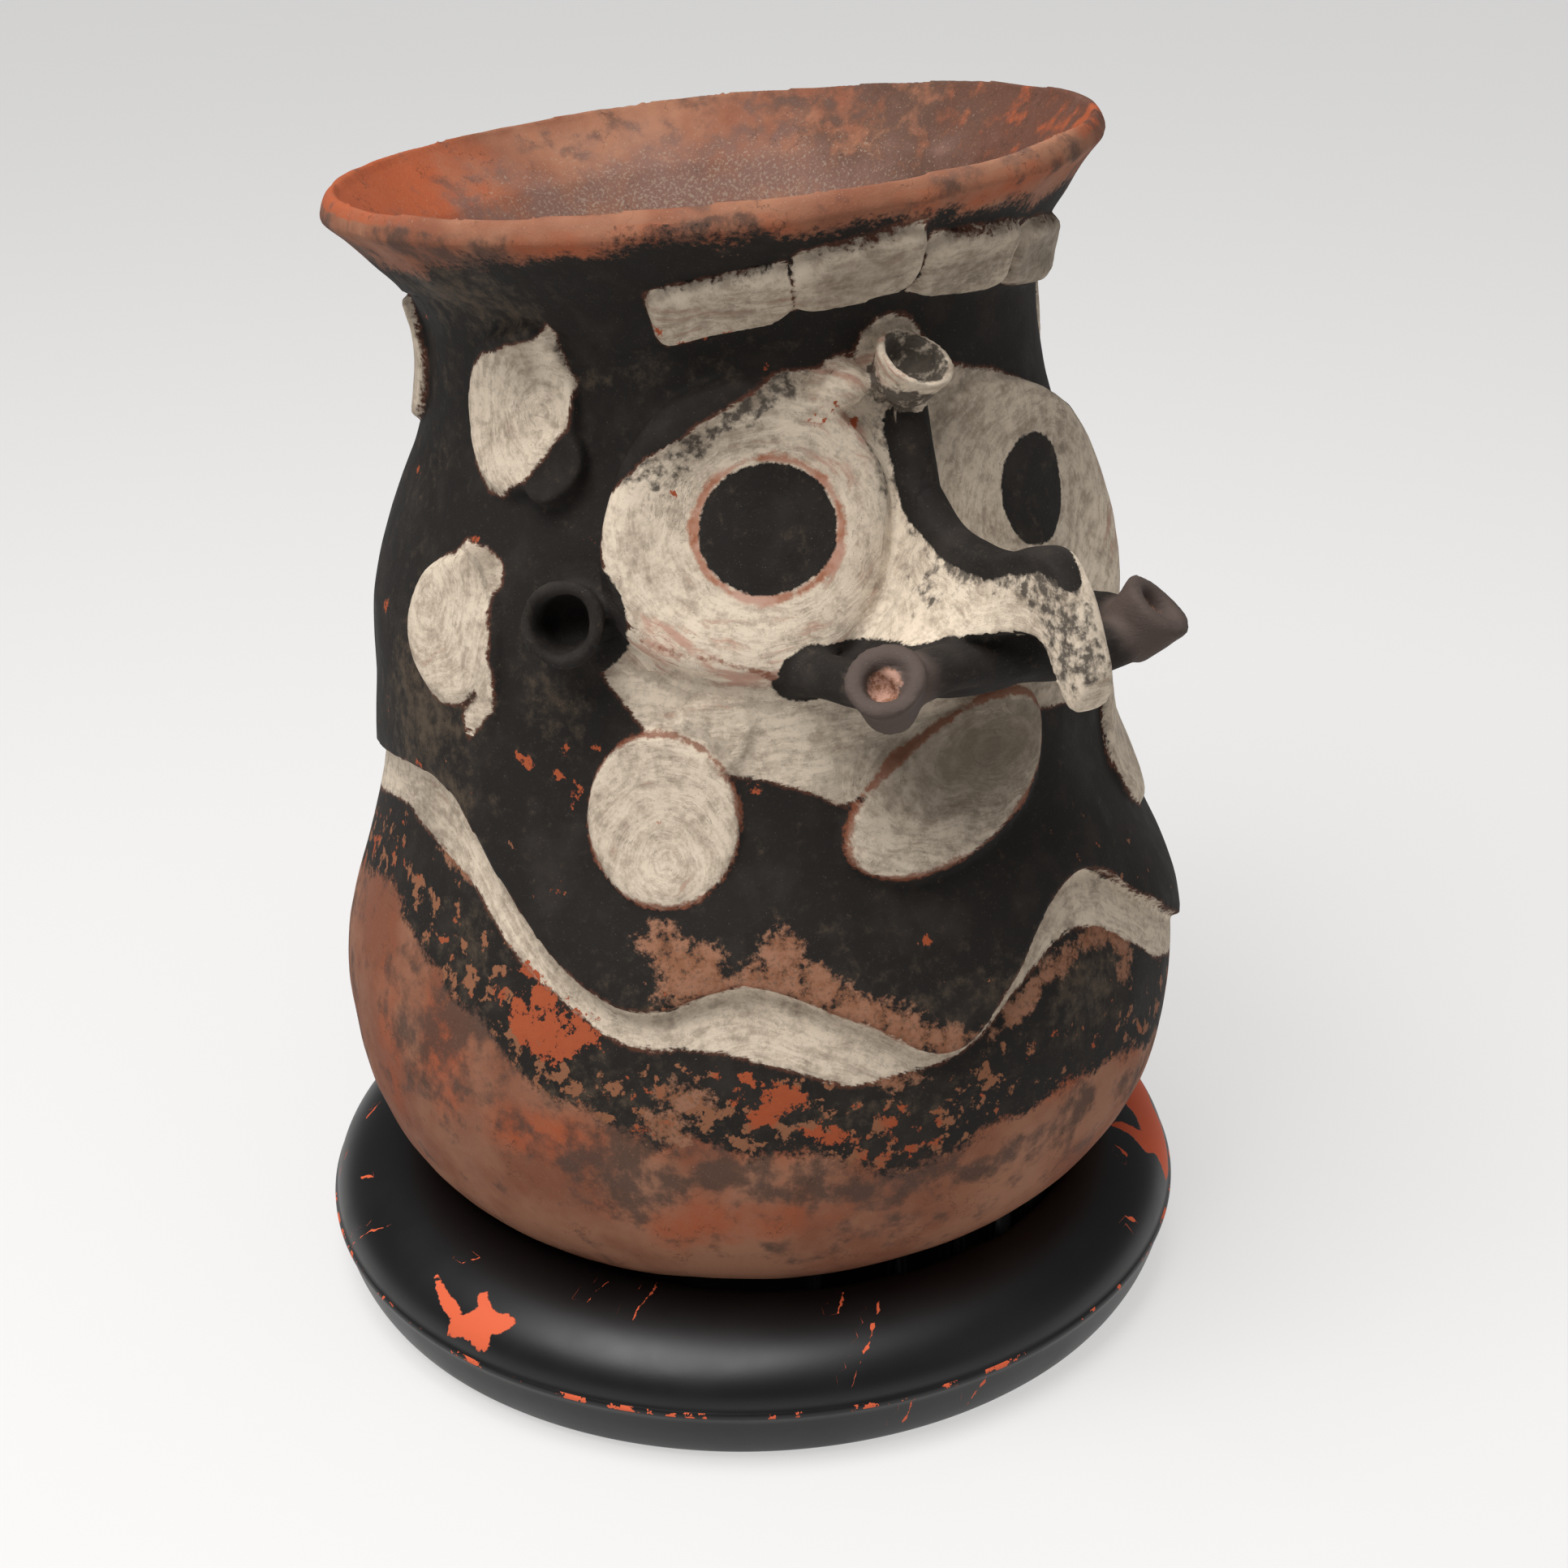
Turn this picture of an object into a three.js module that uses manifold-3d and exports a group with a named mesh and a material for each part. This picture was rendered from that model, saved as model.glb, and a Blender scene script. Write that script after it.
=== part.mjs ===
import * as THREE from 'three';
import { mergeVertices } from 'three/addons/utils/BufferGeometryUtils.js';
import Module from 'manifold-3d';

// A round-bottomed clay storage jar with a modelled spirit face, standing in a padded ring.
// Millimetres and degrees, +Z up. The face looks along -Y.
// A place on the jar is an angle round its axis, 0 at the face and positive towards +X,
// and a height above its bottom, measured along its own axis.

// Jar
const jarHeight = 521;
const bellyRadius = 204.6;
const neckRadius = 140;
const mouthRadius = 182;
const wallThickness = 11;
const mouthTilt = 2.85;
const mouthTiltAngle = 40;
const neckShift = { out: 5, angle: 58, height: 440, reach: 70 };
const flankBulge = { out: 6, angle: -122, height: 335, reach: 45, spread: 38 };
const leanBack = 4.05;
const jarOffsetX = 9.2;
const jarOffsetY = -5.7;
const bottomAboveFloor = 22.4;

// Wavy lower edge of the upper clay layer
const layerStep = 10;
const layerFade = 90;

// Raised clay pads
const discRise = 6;
const browPadRise = 7;
const browPadHalfHeight = 12.5;
const eyePlateRise = 10;
const padRoot = 5;

// Nose
const noseLength = 124;
const noseRidgeHalfWidth = 7.5;
const noseRootHalfWidth = 66;
const noseTipHalfWidth = 10;
const noseRootInset = 0.06;
const foreheadRidge = { from: 388, topHalfWidth: 5, footHalfWidth: 12, rise: 13, stopsBelowCup: 12 };

// Nose ornament, ear tubes and forehead cup
const barRadius = 10.5;
const barSpan = 130;
const barShift = 8;
const barForward = 213;
const barSag = 6;
const noseCupHeight = 337;
const noseCup = { radius: 17, bore: 9, length: 26, depth: 11 };
const noseUnderside = { sideways: 46, deep: 24, high: 18, forward: 196, height: 338 };
const earTube = { radius: 21, bore: 12, length: 30, depth: 22 };
const foreheadCup = { radius: 17, bore: 12, length: 20, depth: 10 };
const earAngle = 55;
const earTurn = 14;
const earHeight = 355;
const foreheadHeight = 450;
const brokenEar = { angle: 62, height: 376, halfAngle: 6, halfHeight: 19, rise: 9 };

// Support ring
const ringRadius = 216;
const ringSectionHalfWidth = 47;
const ringInnerFullness = 0.55;
const ringHeight = 60;
const ringSeamHeight = 32;
const ringSeamDepth = 1.5;
const ringBaseInset = 11;
const ringBaseWidth = 40;
const seatClearance = 0.3;

// Fineness of the facets
const jarSegments = 52;
const padSegments = 12;
const platePadSegments = 20;
const cupSegments = 12;
const ringSegments = 36;
const leastDetail = 0.25;

const wasm = await Module();
wasm.setup();

const radians = THREE.MathUtils.degToRad;

// A smooth curve through a few [x, y] knots. With a period it joins up with its own start.
function curveThrough(knots, period = 0) {
  const first = knots[0];
  const last = knots[knots.length - 1];
  const before = period ? [[last[0] - period, last[1]]] : [];
  const after = period ? [[first[0] + period, first[1]], [knots[1][0] + period, knots[1][1]]] : [];
  const all = [...before, ...knots, ...after];
  const slope = (i) => {
    const a = all[Math.max(i - 1, 0)];
    const b = all[Math.min(i + 1, all.length - 1)];
    return (b[1] - a[1]) / (b[0] - a[0]);
  };
  return (value) => {
    const x = period ? first[0] + THREE.MathUtils.euclideanModulo(value - first[0], period) : value;
    let i = all.findIndex((knot) => knot[0] > x) - 1;
    if (i < 0) i = x < all[0][0] ? 0 : all.length - 2;
    const width = all[i + 1][0] - all[i][0];
    const t = THREE.MathUtils.clamp((x - all[i][0]) / width, 0, 1);
    const rise = (3 - 2 * t) * t * t;
    const ease = t * (1 - t) * width;
    const bend = slope(i) * (1 - t) - slope(i + 1) * t;
    return all[i][1] + (all[i + 1][1] - all[i][1]) * rise + ease * bend;
  };
}

// Outside of the jar: shares of its height against the radius there.
// The curve runs through squared radii, so that the bottom is round.
const flare = mouthRadius - neckRadius;
const outline = [
  [0, 0],
  [0.0154, 0.42 * bellyRadius],
  [0.0576, 0.767 * bellyRadius],
  [0.115, 0.909 * bellyRadius],
  [0.182, 0.981 * bellyRadius],
  [0.25, bellyRadius],
  [0.317, 0.985 * bellyRadius],
  [0.384, 0.927 * bellyRadius],
  [0.461, 0.862 * bellyRadius],
  [0.547, 0.828 * bellyRadius],
  [0.633, 0.808 * bellyRadius],
  [0.72, 0.762 * bellyRadius],
  [0.797, neckRadius + 0.1 * flare],
  [0.864, neckRadius],
  [0.921, neckRadius + 0.11 * flare],
  [0.96, neckRadius + 0.47 * flare],
  [1, mouthRadius],
];
const squaredRadius = curveThrough(outline.map(([share, radius]) => [share * jarHeight, radius * radius]));
const radiusAt = (height) => Math.sqrt(Math.max(squaredRadius(height), 0));

const bell = (distance, reach) => Math.exp(-((distance / reach) ** 2));
const turnBetween = (a, b) => THREE.MathUtils.euclideanModulo(a - b + 180, 360) - 180;

// The pot isn't quite round: one flank bulges and the neck stands a little to one side.
function unevenness(angle, height) {
  const { out, reach, spread } = flankBulge;
  const aside = turnBetween(angle, flankBulge.angle);
  const bulge = out * bell(height - flankBulge.height, reach) * bell(aside, spread);
  const shift = neckShift.out * bell(height - neckShift.height, neckShift.reach);
  return bulge + shift * Math.cos(radians(angle - neckShift.angle));
}

// How far the mouth's tilt lifts a point: none below the shoulder, all of it at the lip.
function mouthLift(angle, height, radius) {
  const share = THREE.MathUtils.smoothstep(height, 0.66 * jarHeight, jarHeight);
  return Math.tan(radians(mouthTilt)) * radius * Math.cos(radians(angle - mouthTiltAngle)) * share;
}

// Place on the jar's outside, pushed out by some millimetres at right angles to the wall.
function onJar(angle, height, out = 0) {
  const step = 1;
  const slope = (radiusAt(height + step) - radiusAt(height - step)) / (2 * step);
  const length = Math.hypot(1, slope);
  const radius = radiusAt(height) + unevenness(angle, height) + out / length;
  const z = height - (out * slope) / length + mouthLift(angle, height, radius);
  return new THREE.Vector3(radius * Math.sin(radians(angle)), -radius * Math.cos(radians(angle)), z);
}

// Place on the plane that cuts the face in two, and beside it: forwards, sideways and height.
const atFace = (forward, side, height) => new THREE.Vector3(side, -forward, height);

// Geometry with shared corners, as a solid that can be cut and joined.
function solid(geometry) {
  const bare = geometry.clone();
  bare.deleteAttribute('normal');
  bare.deleteAttribute('uv');
  const merged = mergeVertices(bare, 1e-4);
  const vertProperties = new Float32Array(merged.attributes.position.array);
  const triVerts = new Uint32Array(merged.index.array);
  const volume = signedVolume(vertProperties, triVerts);
  if (volume < 0) triVerts.reverse();
  return new wasm.Manifold(new wasm.Mesh({ numProp: 3, vertProperties, triVerts }));
}

function signedVolume(points, triangles) {
  const corner = (i) => new THREE.Vector3().fromArray(points, 3 * triangles[i]);
  let volume = 0;
  for (let i = 0; i < triangles.length; i += 3) {
    volume += corner(i).dot(corner(i + 1).cross(corner(i + 2))) / 6;
  }
  return volume;
}

function geometryOf(manifold) {
  const mesh = manifold.getMesh();
  const geometry = new THREE.BufferGeometry();
  geometry.setAttribute('position', new THREE.BufferAttribute(new Float32Array(mesh.vertProperties), 3));
  geometry.setIndex(new THREE.BufferAttribute(new Uint32Array(mesh.triVerts), 1));
  geometry.computeVertexNormals();
  return geometry;
}

// Closed skin over a stack of rings of points. Open stacks get a point at each end,
// and a looped stack joins its last ring to its first.
function skin(rings, ends = null) {
  const count = rings[0].length;
  const points = rings.flat();
  const index = [];
  const bands = ends ? rings.length - 1 : rings.length;
  for (let i = 0; i < bands; i++) {
    for (let j = 0; j < count; j++) {
      const a = i * count + j;
      const b = i * count + ((j + 1) % count);
      const c = ((i + 1) % rings.length) * count + j;
      const d = ((i + 1) % rings.length) * count + ((j + 1) % count);
      index.push(a, b, d, a, d, c);
    }
  }
  if (ends) {
    points.push(...ends);
    const top = (rings.length - 1) * count;
    for (let j = 0; j < count; j++) {
      index.push(points.length - 2, (j + 1) % count, j);
      index.push(points.length - 1, top + j, top + ((j + 1) % count));
    }
  }
  const geometry = new THREE.BufferGeometry().setFromPoints(points);
  geometry.setIndex(index);
  return geometry;
}

// The pot

// Height of the upper layer's wavy edge, as angle and share of the jar's height.
const layerWave = [
  [-140, 0.446], [-98, 0.512], [-80, 0.513], [-68, 0.449], [-56, 0.387], [-46, 0.361], [-32, 0.381],
  [-19, 0.346], [-8, 0.309], [2, 0.344], [12, 0.394], [22, 0.401], [33, 0.347], [52, 0.277],
  [70, 0.307], [98, 0.426], [128, 0.366], [156, 0.446], [190, 0.357],
];
const layerShare = curveThrough(layerWave, 360);
const layerEdge = (angle) => layerShare(angle) * jarHeight;

// The layer is thickest at the face and behind it, and thinner on the flanks.
const stepAt = (angle) => layerStep * (0.5 + 0.5 * Math.cos(radians(angle + 20)) ** 2);

// A level ring of places round the jar, each from its angle.
const ringOf = (count, place) => Array.from({ length: count }, (_, i) => place((360 / count) * i));

// The round bottom, up to the wavy edge of the upper layer.
function bowlRings(out) {
  const shares = [0.025, 0.075, 0.15, 0.25, 0.38, 0.56, 0.78, 1];
  return shares.map((share) => ringOf(jarSegments, (angle) => onJar(angle, share * layerEdge(angle), out)));
}

// The upper layer overhangs the bowl by its step and thins out upwards.
function layerRings() {
  const top = jarHeight - wallThickness / 2;
  const place = (rise, share) => (angle) => {
    const height = layerEdge(angle) + rise + share * (top - layerEdge(angle) - rise);
    const thin = THREE.MathUtils.smoothstep(height - layerEdge(angle), 0, layerFade);
    return onJar(angle, height, stepAt(angle) * (1 - thin) * (rise === 0 ? 0.8 : 1));
  };
  const shares = [0, 0.06, 0.14, 0.24, 0.36, 0.48, 0.6, 0.71, 0.81, 0.88, 0.94, 1];
  return [
    ringOf(jarSegments, place(0, 0)),
    ...shares.map((share) => ringOf(jarSegments, place(layerStep / 2, share))),
  ];
}

function lipRings() {
  const half = wallThickness / 2;
  return [45, 90, 135].map((turn) => ringOf(jarSegments, (angle) => {
    const out = half * (Math.cos(radians(turn)) - 1);
    const lift = onJar(angle, jarHeight - half, out);
    return lift.setZ(lift.z + half * Math.sin(radians(turn)));
  }));
}

function insideRings() {
  const top = jarHeight - wallThickness / 2;
  const shares = [1, 0.95, 0.88, 0.76, 0.6, 0.42, 0.26, 0.14, 0.06];
  return shares.map((share) => ringOf(jarSegments, (angle) => onJar(angle, share * top, -wallThickness)));
}

function pot() {
  const rings = [...bowlRings(0), ...layerRings(), ...lipRings(), ...insideRings()];
  return solid(skin(rings, [new THREE.Vector3(), new THREE.Vector3(0, 0, wallThickness)]));
}

// Raised pads: an oval or a rounded rectangle laid on the wall.
// Its section runs from the edge inwards as [share of the way out, height over the wall].
// A swing makes it stand prouder on one side than on the other.
function pad({
  angle, height, halfAngle, halfHeight, turn = 0, squareness = 2, swing = 0, section, middle,
  segments = padSegments,
}) {
  const place = (share, out, j) => {
    const around = (2 * Math.PI * j) / segments;
    const round = (value) => Math.sign(value) * Math.abs(value) ** (2 / squareness);
    const across = round(Math.cos(around)) * share;
    const up = round(Math.sin(around)) * share;
    const tilt = radians(turn);
    const width = radians(halfAngle) * radiusAt(height);
    const x = across * width * Math.cos(tilt) - up * halfHeight * Math.sin(tilt);
    const y = across * width * Math.sin(tilt) + up * halfHeight * Math.cos(tilt);
    const proud = out > 0 ? out * (1 + swing * across) : out;
    return onJar(angle + THREE.MathUtils.radToDeg(x / radiusAt(height)), height + y, proud);
  };
  const steps = Array.from({ length: segments }, (_, j) => j);
  const rings = section.map(([share, out]) => steps.map((j) => place(share, out, j)));
  return solid(skin(rings, [place(0, -padRoot, 0), place(0, middle, 0)]));
}

const discSection = [[1, -padRoot], [1, 0.6 * discRise], [0.9, discRise], [0.55, 0.8 * discRise]];
const browPadSection = [[1, -padRoot], [1, 0.6 * browPadRise], [0.86, browPadRise]];
const eyePlateSection = [
  [1, -padRoot], [1, 0.5 * eyePlateRise], [0.93, 0.95 * eyePlateRise], [0.8, eyePlateRise],
  [0.6, 0.5 * eyePlateRise], [0.45, 0.3 * eyePlateRise],
];

// Angle, height, half width in degrees, half height, turn
const discs = [
  [-69, 438, 13, 36, 0],
  [-80, 340, 9.5, 32, 0],
  [-43, 270, 11, 38, 0],
  [1, 268, 20, 30, 22],
  [54, 238, 12, 36, 0],
  [-112, 446, 8, 30, 0],
  [78, 440, 12, 34, 0],
  [84, 338, 10, 32, 0],
  [118, 300, 11, 35, 0],
  [150, 430, 12, 34, 0],
  [180, 300, 12, 36, 0],
  [-146, 330, 11, 34, 0],
];

// Angle, height, half width in degrees, turn
const browPads = [
  [-30, 484, 10.5, 9],
  [-9, 492, 10, 5],
  [13, 485, 11, -6],
  [37, 476, 12, -10],
];

// Angle, height, half width in degrees, half height, turn, swing
const eyePlates = [
  [-28, 389, 22, 61, -14, -0.35],
  [26, 364, 29.5, 57, -26, 0.7],
];

function pads() {
  const shapes = [];
  for (const [angle, height, halfAngle, halfHeight, turn] of discs) {
    const middle = 0.75 * discRise;
    shapes.push(pad({ angle, height, halfAngle, halfHeight, turn, section: discSection, middle }));
  }
  for (const [angle, height, halfAngle, turn] of browPads) {
    shapes.push(pad({
      angle, height, halfAngle, turn, halfHeight: browPadHalfHeight, squareness: 4.5,
      section: browPadSection, middle: browPadRise,
    }));
  }
  for (const [angle, height, halfAngle, halfHeight, turn, swing] of eyePlates) {
    shapes.push(pad({
      angle, height, halfAngle, halfHeight, turn, swing, squareness: 2.3, segments: platePadSegments,
      section: eyePlateSection, middle: 0.4 * eyePlateRise,
    }));
  }
  return shapes;
}

// The nose: sections from inside the face to the blunt tip of the beak.

const noseStart = 0.74 * bellyRadius;
const noseTop = curveThrough([[-noseRootInset, 412], [0.08, 402], [0.2, 388], [0.32, 383], [0.5, 382],
  [0.67, 390], [0.8, 395], [0.88, 388], [0.95, 371], [1, 354]]);
const noseBottom = curveThrough([[-noseRootInset, 314], [0.18, 325], [0.31, 341], [0.46, 351], [0.62, 356],
  [0.76, 359], [0.83, 356], [0.9, 336], [0.96, 332], [1, 340]]);
const noseHalfWidth = curveThrough([[-noseRootInset, noseRootHalfWidth], [0.18, 0.9 * noseRootHalfWidth],
  [0.31, 0.66 * noseRootHalfWidth], [0.43, 0.47 * noseRootHalfWidth], [0.56, 1.9 * noseTipHalfWidth],
  [0.7, 1.15 * noseTipHalfWidth], [1, 0.7 * noseTipHalfWidth]]);

function nose() {
  const rings = [];
  const stations = [-noseRootInset, 0.06, 0.18, 0.3, 0.42, 0.54, 0.66, 0.76, 0.83, 0.89, 0.95, 1];
  const levels = [0, 0.06, 0.3, 0.55, 0.78, 0.94, 1];
  for (const share of stations) {
    const forward = noseStart + share * noseLength;
    const top = noseTop(share);
    const bottom = noseBottom(share);
    const half = (level) => {
      const flat = Math.min(noseRidgeHalfWidth, noseHalfWidth(share));
      const side = flat + (noseHalfWidth(share) - flat) * level ** 1.8;
      return side * (level === 0 || level === 1 ? 0.55 : 1);
    };
    const right = levels.map((level) => atFace(forward, half(level), top + (bottom - top) * level));
    const left = levels.map((level) => atFace(forward, -half(level), top + (bottom - top) * level)).reverse();
    rings.push([...right, ...left]);
  }
  const lastTop = noseTop(1);
  const lastBottom = noseBottom(1);
  const ends = [
    atFace(noseStart - noseRootInset * noseLength, 0, (noseTop(0) + noseBottom(0)) / 2),
    atFace(noseStart + 1.02 * noseLength, 0, (lastTop + lastBottom) / 2),
  ];
  return solid(skin(rings, ends));
}

// Clay that closes the hollow between the nose's lower edge and the bar.
function noseFilling() {
  const { sideways, deep, high, forward, height } = noseUnderside;
  const ball = new THREE.SphereGeometry(1, 14, 8).rotateX(Math.PI / 2).scale(sideways, deep, high);
  const place = atFace(forward, 0, height);
  return solid(ball.translate(place.x, place.y, place.z));
}

// The thin ridge from the forehead cup down to the nose.
function noseRidge() {
  const { from, topHalfWidth, footHalfWidth, rise, stopsBelowCup } = foreheadRidge;
  const to = foreheadHeight - stopsBelowCup;
  const rings = [];
  for (const share of [0, 0.26, 0.56, 0.86, 1]) {
    const height = from + share * (to - from);
    const foot = onJar(1, height, -padRoot);
    const crest = onJar(1, height, rise);
    rings.push([
      foot.clone().setX(foot.x - footHalfWidth), crest.clone().setX(crest.x - topHalfWidth),
      crest.clone().setX(crest.x + topHalfWidth), foot.clone().setX(foot.x + footHalfWidth),
    ]);
  }
  return solid(skin(rings, [onJar(1, from, 2), onJar(1, to, 2)]));
}

// A short round cup or tube end, open along its axis and closed below.
function cup({ radius, bore, length, depth }, place, direction) {
  const profile = [
    [0, -length / 2], [0.7 * radius, -length / 2], [radius, length / 2 - 3], [radius - 2, length / 2],
    [bore, length / 2 - 1], [0.8 * bore, length / 2 - depth], [0, length / 2 - depth],
  ].map(([x, y]) => new THREE.Vector2(x, y));
  const geometry = new THREE.LatheGeometry(profile, cupSegments);
  const upright = new THREE.Vector3(0, 1, 0);
  const turn = new THREE.Quaternion().setFromUnitVectors(upright, direction.clone().normalize());
  geometry.applyQuaternion(turn);
  geometry.translate(place.x, place.y, place.z);
  return solid(geometry);
}

function wallDirection(angle, height) {
  return onJar(angle, height, 1).sub(onJar(angle, height, 0));
}

function openings() {
  const shapes = [];
  const direction = wallDirection(-earAngle, earHeight).normalize();
  direction.applyAxisAngle(new THREE.Vector3(0, 0, 1), radians(earTurn));
  const place = onJar(-earAngle, earHeight, earTube.length / 2 - padRoot);
  shapes.push(cup(earTube, place, direction));
  // Only a low stub is left of the other ear.
  const { rise } = brokenEar;
  shapes.push(pad({ ...brokenEar, section: [[1, -padRoot], [1, 0.4 * rise], [0.7, rise]], middle: rise }));
  const cupPlace = onJar(-1, foreheadHeight - 5, 0.33 * foreheadCup.length);
  shapes.push(cup(foreheadCup, cupPlace, atFace(0.4, 0.4, 0.82)));
  return shapes;
}

// The bar under the beak, with a cup on each end that turns forwards and up.
// Its route is given from left to right, as share of the half span and share of the sag.
const barRoute = [[-1, 0], [-0.67, 0.7], [-0.33, 0.5], [0, -0.3], [0.46, -1], [0.79, -0.9], [1, 0.2]];

function noseOrnament() {
  const half = barSpan / 2;
  const onBar = ([share, rise]) => atFace(barForward, barShift + share * half, noseCupHeight + rise * barSag);
  const ringOfClay = new THREE.Shape().absarc(0, 0, barRadius, 0, 2 * Math.PI);
  const tube = (route, steps) => {
    const extrudePath = new THREE.CatmullRomCurve3(route);
    return solid(new THREE.ExtrudeGeometry(ringOfClay, { extrudePath, steps, curveSegments: 5 }));
  };
  const shapes = [noseFilling(), tube(barRoute.map(onBar), 14)];
  for (const side of [-1, 1]) {
    const end = onBar([side, 0]);
    shapes.push(cup(noseCup, end, new THREE.Vector3(side * 0.45, -0.5, 0.75)));
    shapes.push(tube([
      atFace(barForward - 2, 0.97 * end.x, noseCupHeight - 1),
      atFace(barForward - 25, end.x, noseCupHeight - 3),
      atFace(noseStart - 4, side * 0.95 * half, noseCupHeight - 9),
    ], 5));
  }
  return shapes;
}

function jarSolid() {
  let jar = pot();
  for (const shape of [...pads(), nose(), noseRidge(), ...openings(), ...noseOrnament()]) {
    jar = jar.add(shape);
  }
  return jar.simplify(leastDetail);
}

// The ring: a flattened tube with a flat base and a moulded seam round its widest line.
function ringSolid(jarPlace) {
  const middle = ringRadius - ringSectionHalfWidth;
  const crown = ringHeight - ringSeamHeight;
  const profile = [];
  const add = (x, y) => profile.push(new THREE.Vector2(x, y));
  const reach = ringSectionHalfWidth - ringSeamDepth;
  add(middle - ringBaseWidth / 2, 0);
  add(ringRadius - ringBaseInset, 0);
  add(ringRadius - 0.68 * ringBaseInset, 0.22 * ringSeamHeight);
  add(ringRadius - 0.36 * ringBaseInset, 0.5 * ringSeamHeight);
  add(middle + reach, 0.84 * ringSeamHeight);
  add(ringRadius, 0.93 * ringSeamHeight);
  add(ringRadius, ringSeamHeight);
  for (const turn of [2, 20, 40, 60, 80, 100, 125, 152, 180]) {
    const fullness = turn < 90 ? 1 : ringInnerFullness;
    const rise = Math.abs(Math.sin(radians(turn))) ** fullness;
    add(middle + reach * Math.cos(radians(turn)), ringSeamHeight + crown * rise);
  }
  add(middle - 0.8 * ringSectionHalfWidth, 0.35 * ringSeamHeight);
  profile.push(profile[0].clone());
  const ring = solid(new THREE.LatheGeometry(profile, ringSegments).rotateX(Math.PI / 2));
  const seatRings = bowlRings(seatClearance);
  const seatEnds = [onJar(0, 0, seatClearance), new THREE.Vector3(0, 0, layerEdge(0))];
  const cutter = skin(seatRings, seatEnds).applyMatrix4(jarPlace);
  return ring.subtract(solid(cutter)).simplify(leastDetail);
}

// Assembly

const clay = new THREE.MeshStandardMaterial({ color: 0x8a4f35, roughness: 0.9, metalness: 0 });
const blackPaint = new THREE.MeshStandardMaterial({ color: 0x151515, roughness: 0.45, metalness: 0 });

const jar = new THREE.Mesh(geometryOf(jarSolid()), clay);
jar.name = 'jar';
jar.rotation.x = radians(-leanBack);
jar.position.set(jarOffsetX, jarOffsetY, bottomAboveFloor);
jar.updateMatrix();

const supportRing = new THREE.Mesh(geometryOf(ringSolid(jar.matrix)), blackPaint);
supportRing.name = 'support_ring';

// The origin is on the floor, under the middle of the whole object.
const object = new THREE.Group();
object.add(jar, supportRing);
object.updateMatrixWorld(true);
const reach = new THREE.Box3().setFromObject(object, true);
const middle = reach.getCenter(new THREE.Vector3());
object.position.set(-middle.x, -middle.y, -reach.min.z);

export default object;
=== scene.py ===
import math

import bmesh
import bpy
import numpy as np
from mathutils import Matrix, Vector, noise


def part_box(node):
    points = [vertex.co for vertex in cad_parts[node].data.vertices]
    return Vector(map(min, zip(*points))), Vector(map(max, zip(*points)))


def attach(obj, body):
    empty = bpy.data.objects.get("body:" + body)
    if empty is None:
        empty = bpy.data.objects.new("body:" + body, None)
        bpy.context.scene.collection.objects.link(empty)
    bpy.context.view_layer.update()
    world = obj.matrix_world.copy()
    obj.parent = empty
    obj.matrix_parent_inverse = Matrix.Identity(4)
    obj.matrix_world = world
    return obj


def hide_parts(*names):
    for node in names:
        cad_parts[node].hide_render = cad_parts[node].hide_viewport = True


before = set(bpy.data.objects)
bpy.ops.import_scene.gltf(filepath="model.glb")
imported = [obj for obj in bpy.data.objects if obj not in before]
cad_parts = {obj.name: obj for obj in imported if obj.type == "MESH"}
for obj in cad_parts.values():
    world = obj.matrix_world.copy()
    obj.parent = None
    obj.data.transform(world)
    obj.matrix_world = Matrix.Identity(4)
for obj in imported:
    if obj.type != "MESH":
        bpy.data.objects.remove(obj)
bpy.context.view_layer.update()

# Sago storage jar with a modelled spirit face, standing in a padded ring.
# Shapes are worked out in millimetres in the jar's own upright frame, then set in place in metres.
# A place on the jar is an angle round its axis (0 at the face, positive towards +X)
# and a height above its bottom.


# shape helpers for every piece

def curveThrough(knots, period=0.0):
    # smooth curve through (x, y) knots; with a period it closes on itself
    xs = [k[0] for k in knots]
    ys = [k[1] for k in knots]
    first = xs[0]
    if period:
        xs = [xs[-1] - period] + xs + [xs[0] + period, xs[1] + period]
        ys = [ys[-1]] + ys + [ys[0], ys[1]]
    xs, ys = np.array(xs, float), np.array(ys, float)
    last = len(xs) - 1
    slopes = np.array([(ys[min(i + 1, last)] - ys[max(i - 1, 0)]) / (xs[min(i + 1, last)] - xs[max(i - 1, 0)])
                       for i in range(last + 1)])

    def at(value):
        x = np.asarray(value, float)
        if period:
            x = first + np.mod(x - first, period)
        i = np.clip(np.searchsorted(xs, x, side="right") - 1, 0, last - 1)
        width = xs[i + 1] - xs[i]
        t = np.clip((x - xs[i]) / width, 0, 1)
        rise = (3 - 2 * t) * t * t
        bend = slopes[i] * (1 - t) - slopes[i + 1] * t
        return ys[i] + (ys[i + 1] - ys[i]) * rise + t * (1 - t) * width * bend

    return at


def smoothStep(value, low, high):
    t = np.clip((value - low) / (high - low), 0, 1)
    return t * t * (3 - 2 * t)


def bell(distance, reach):
    return np.exp(-((distance / reach) ** 2))


def turnBetween(a, b):
    return np.mod(a - b + 180, 360) - 180


def points(x, y, z):
    return np.stack(np.broadcast_arrays(x, y, z), axis=-1)


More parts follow.
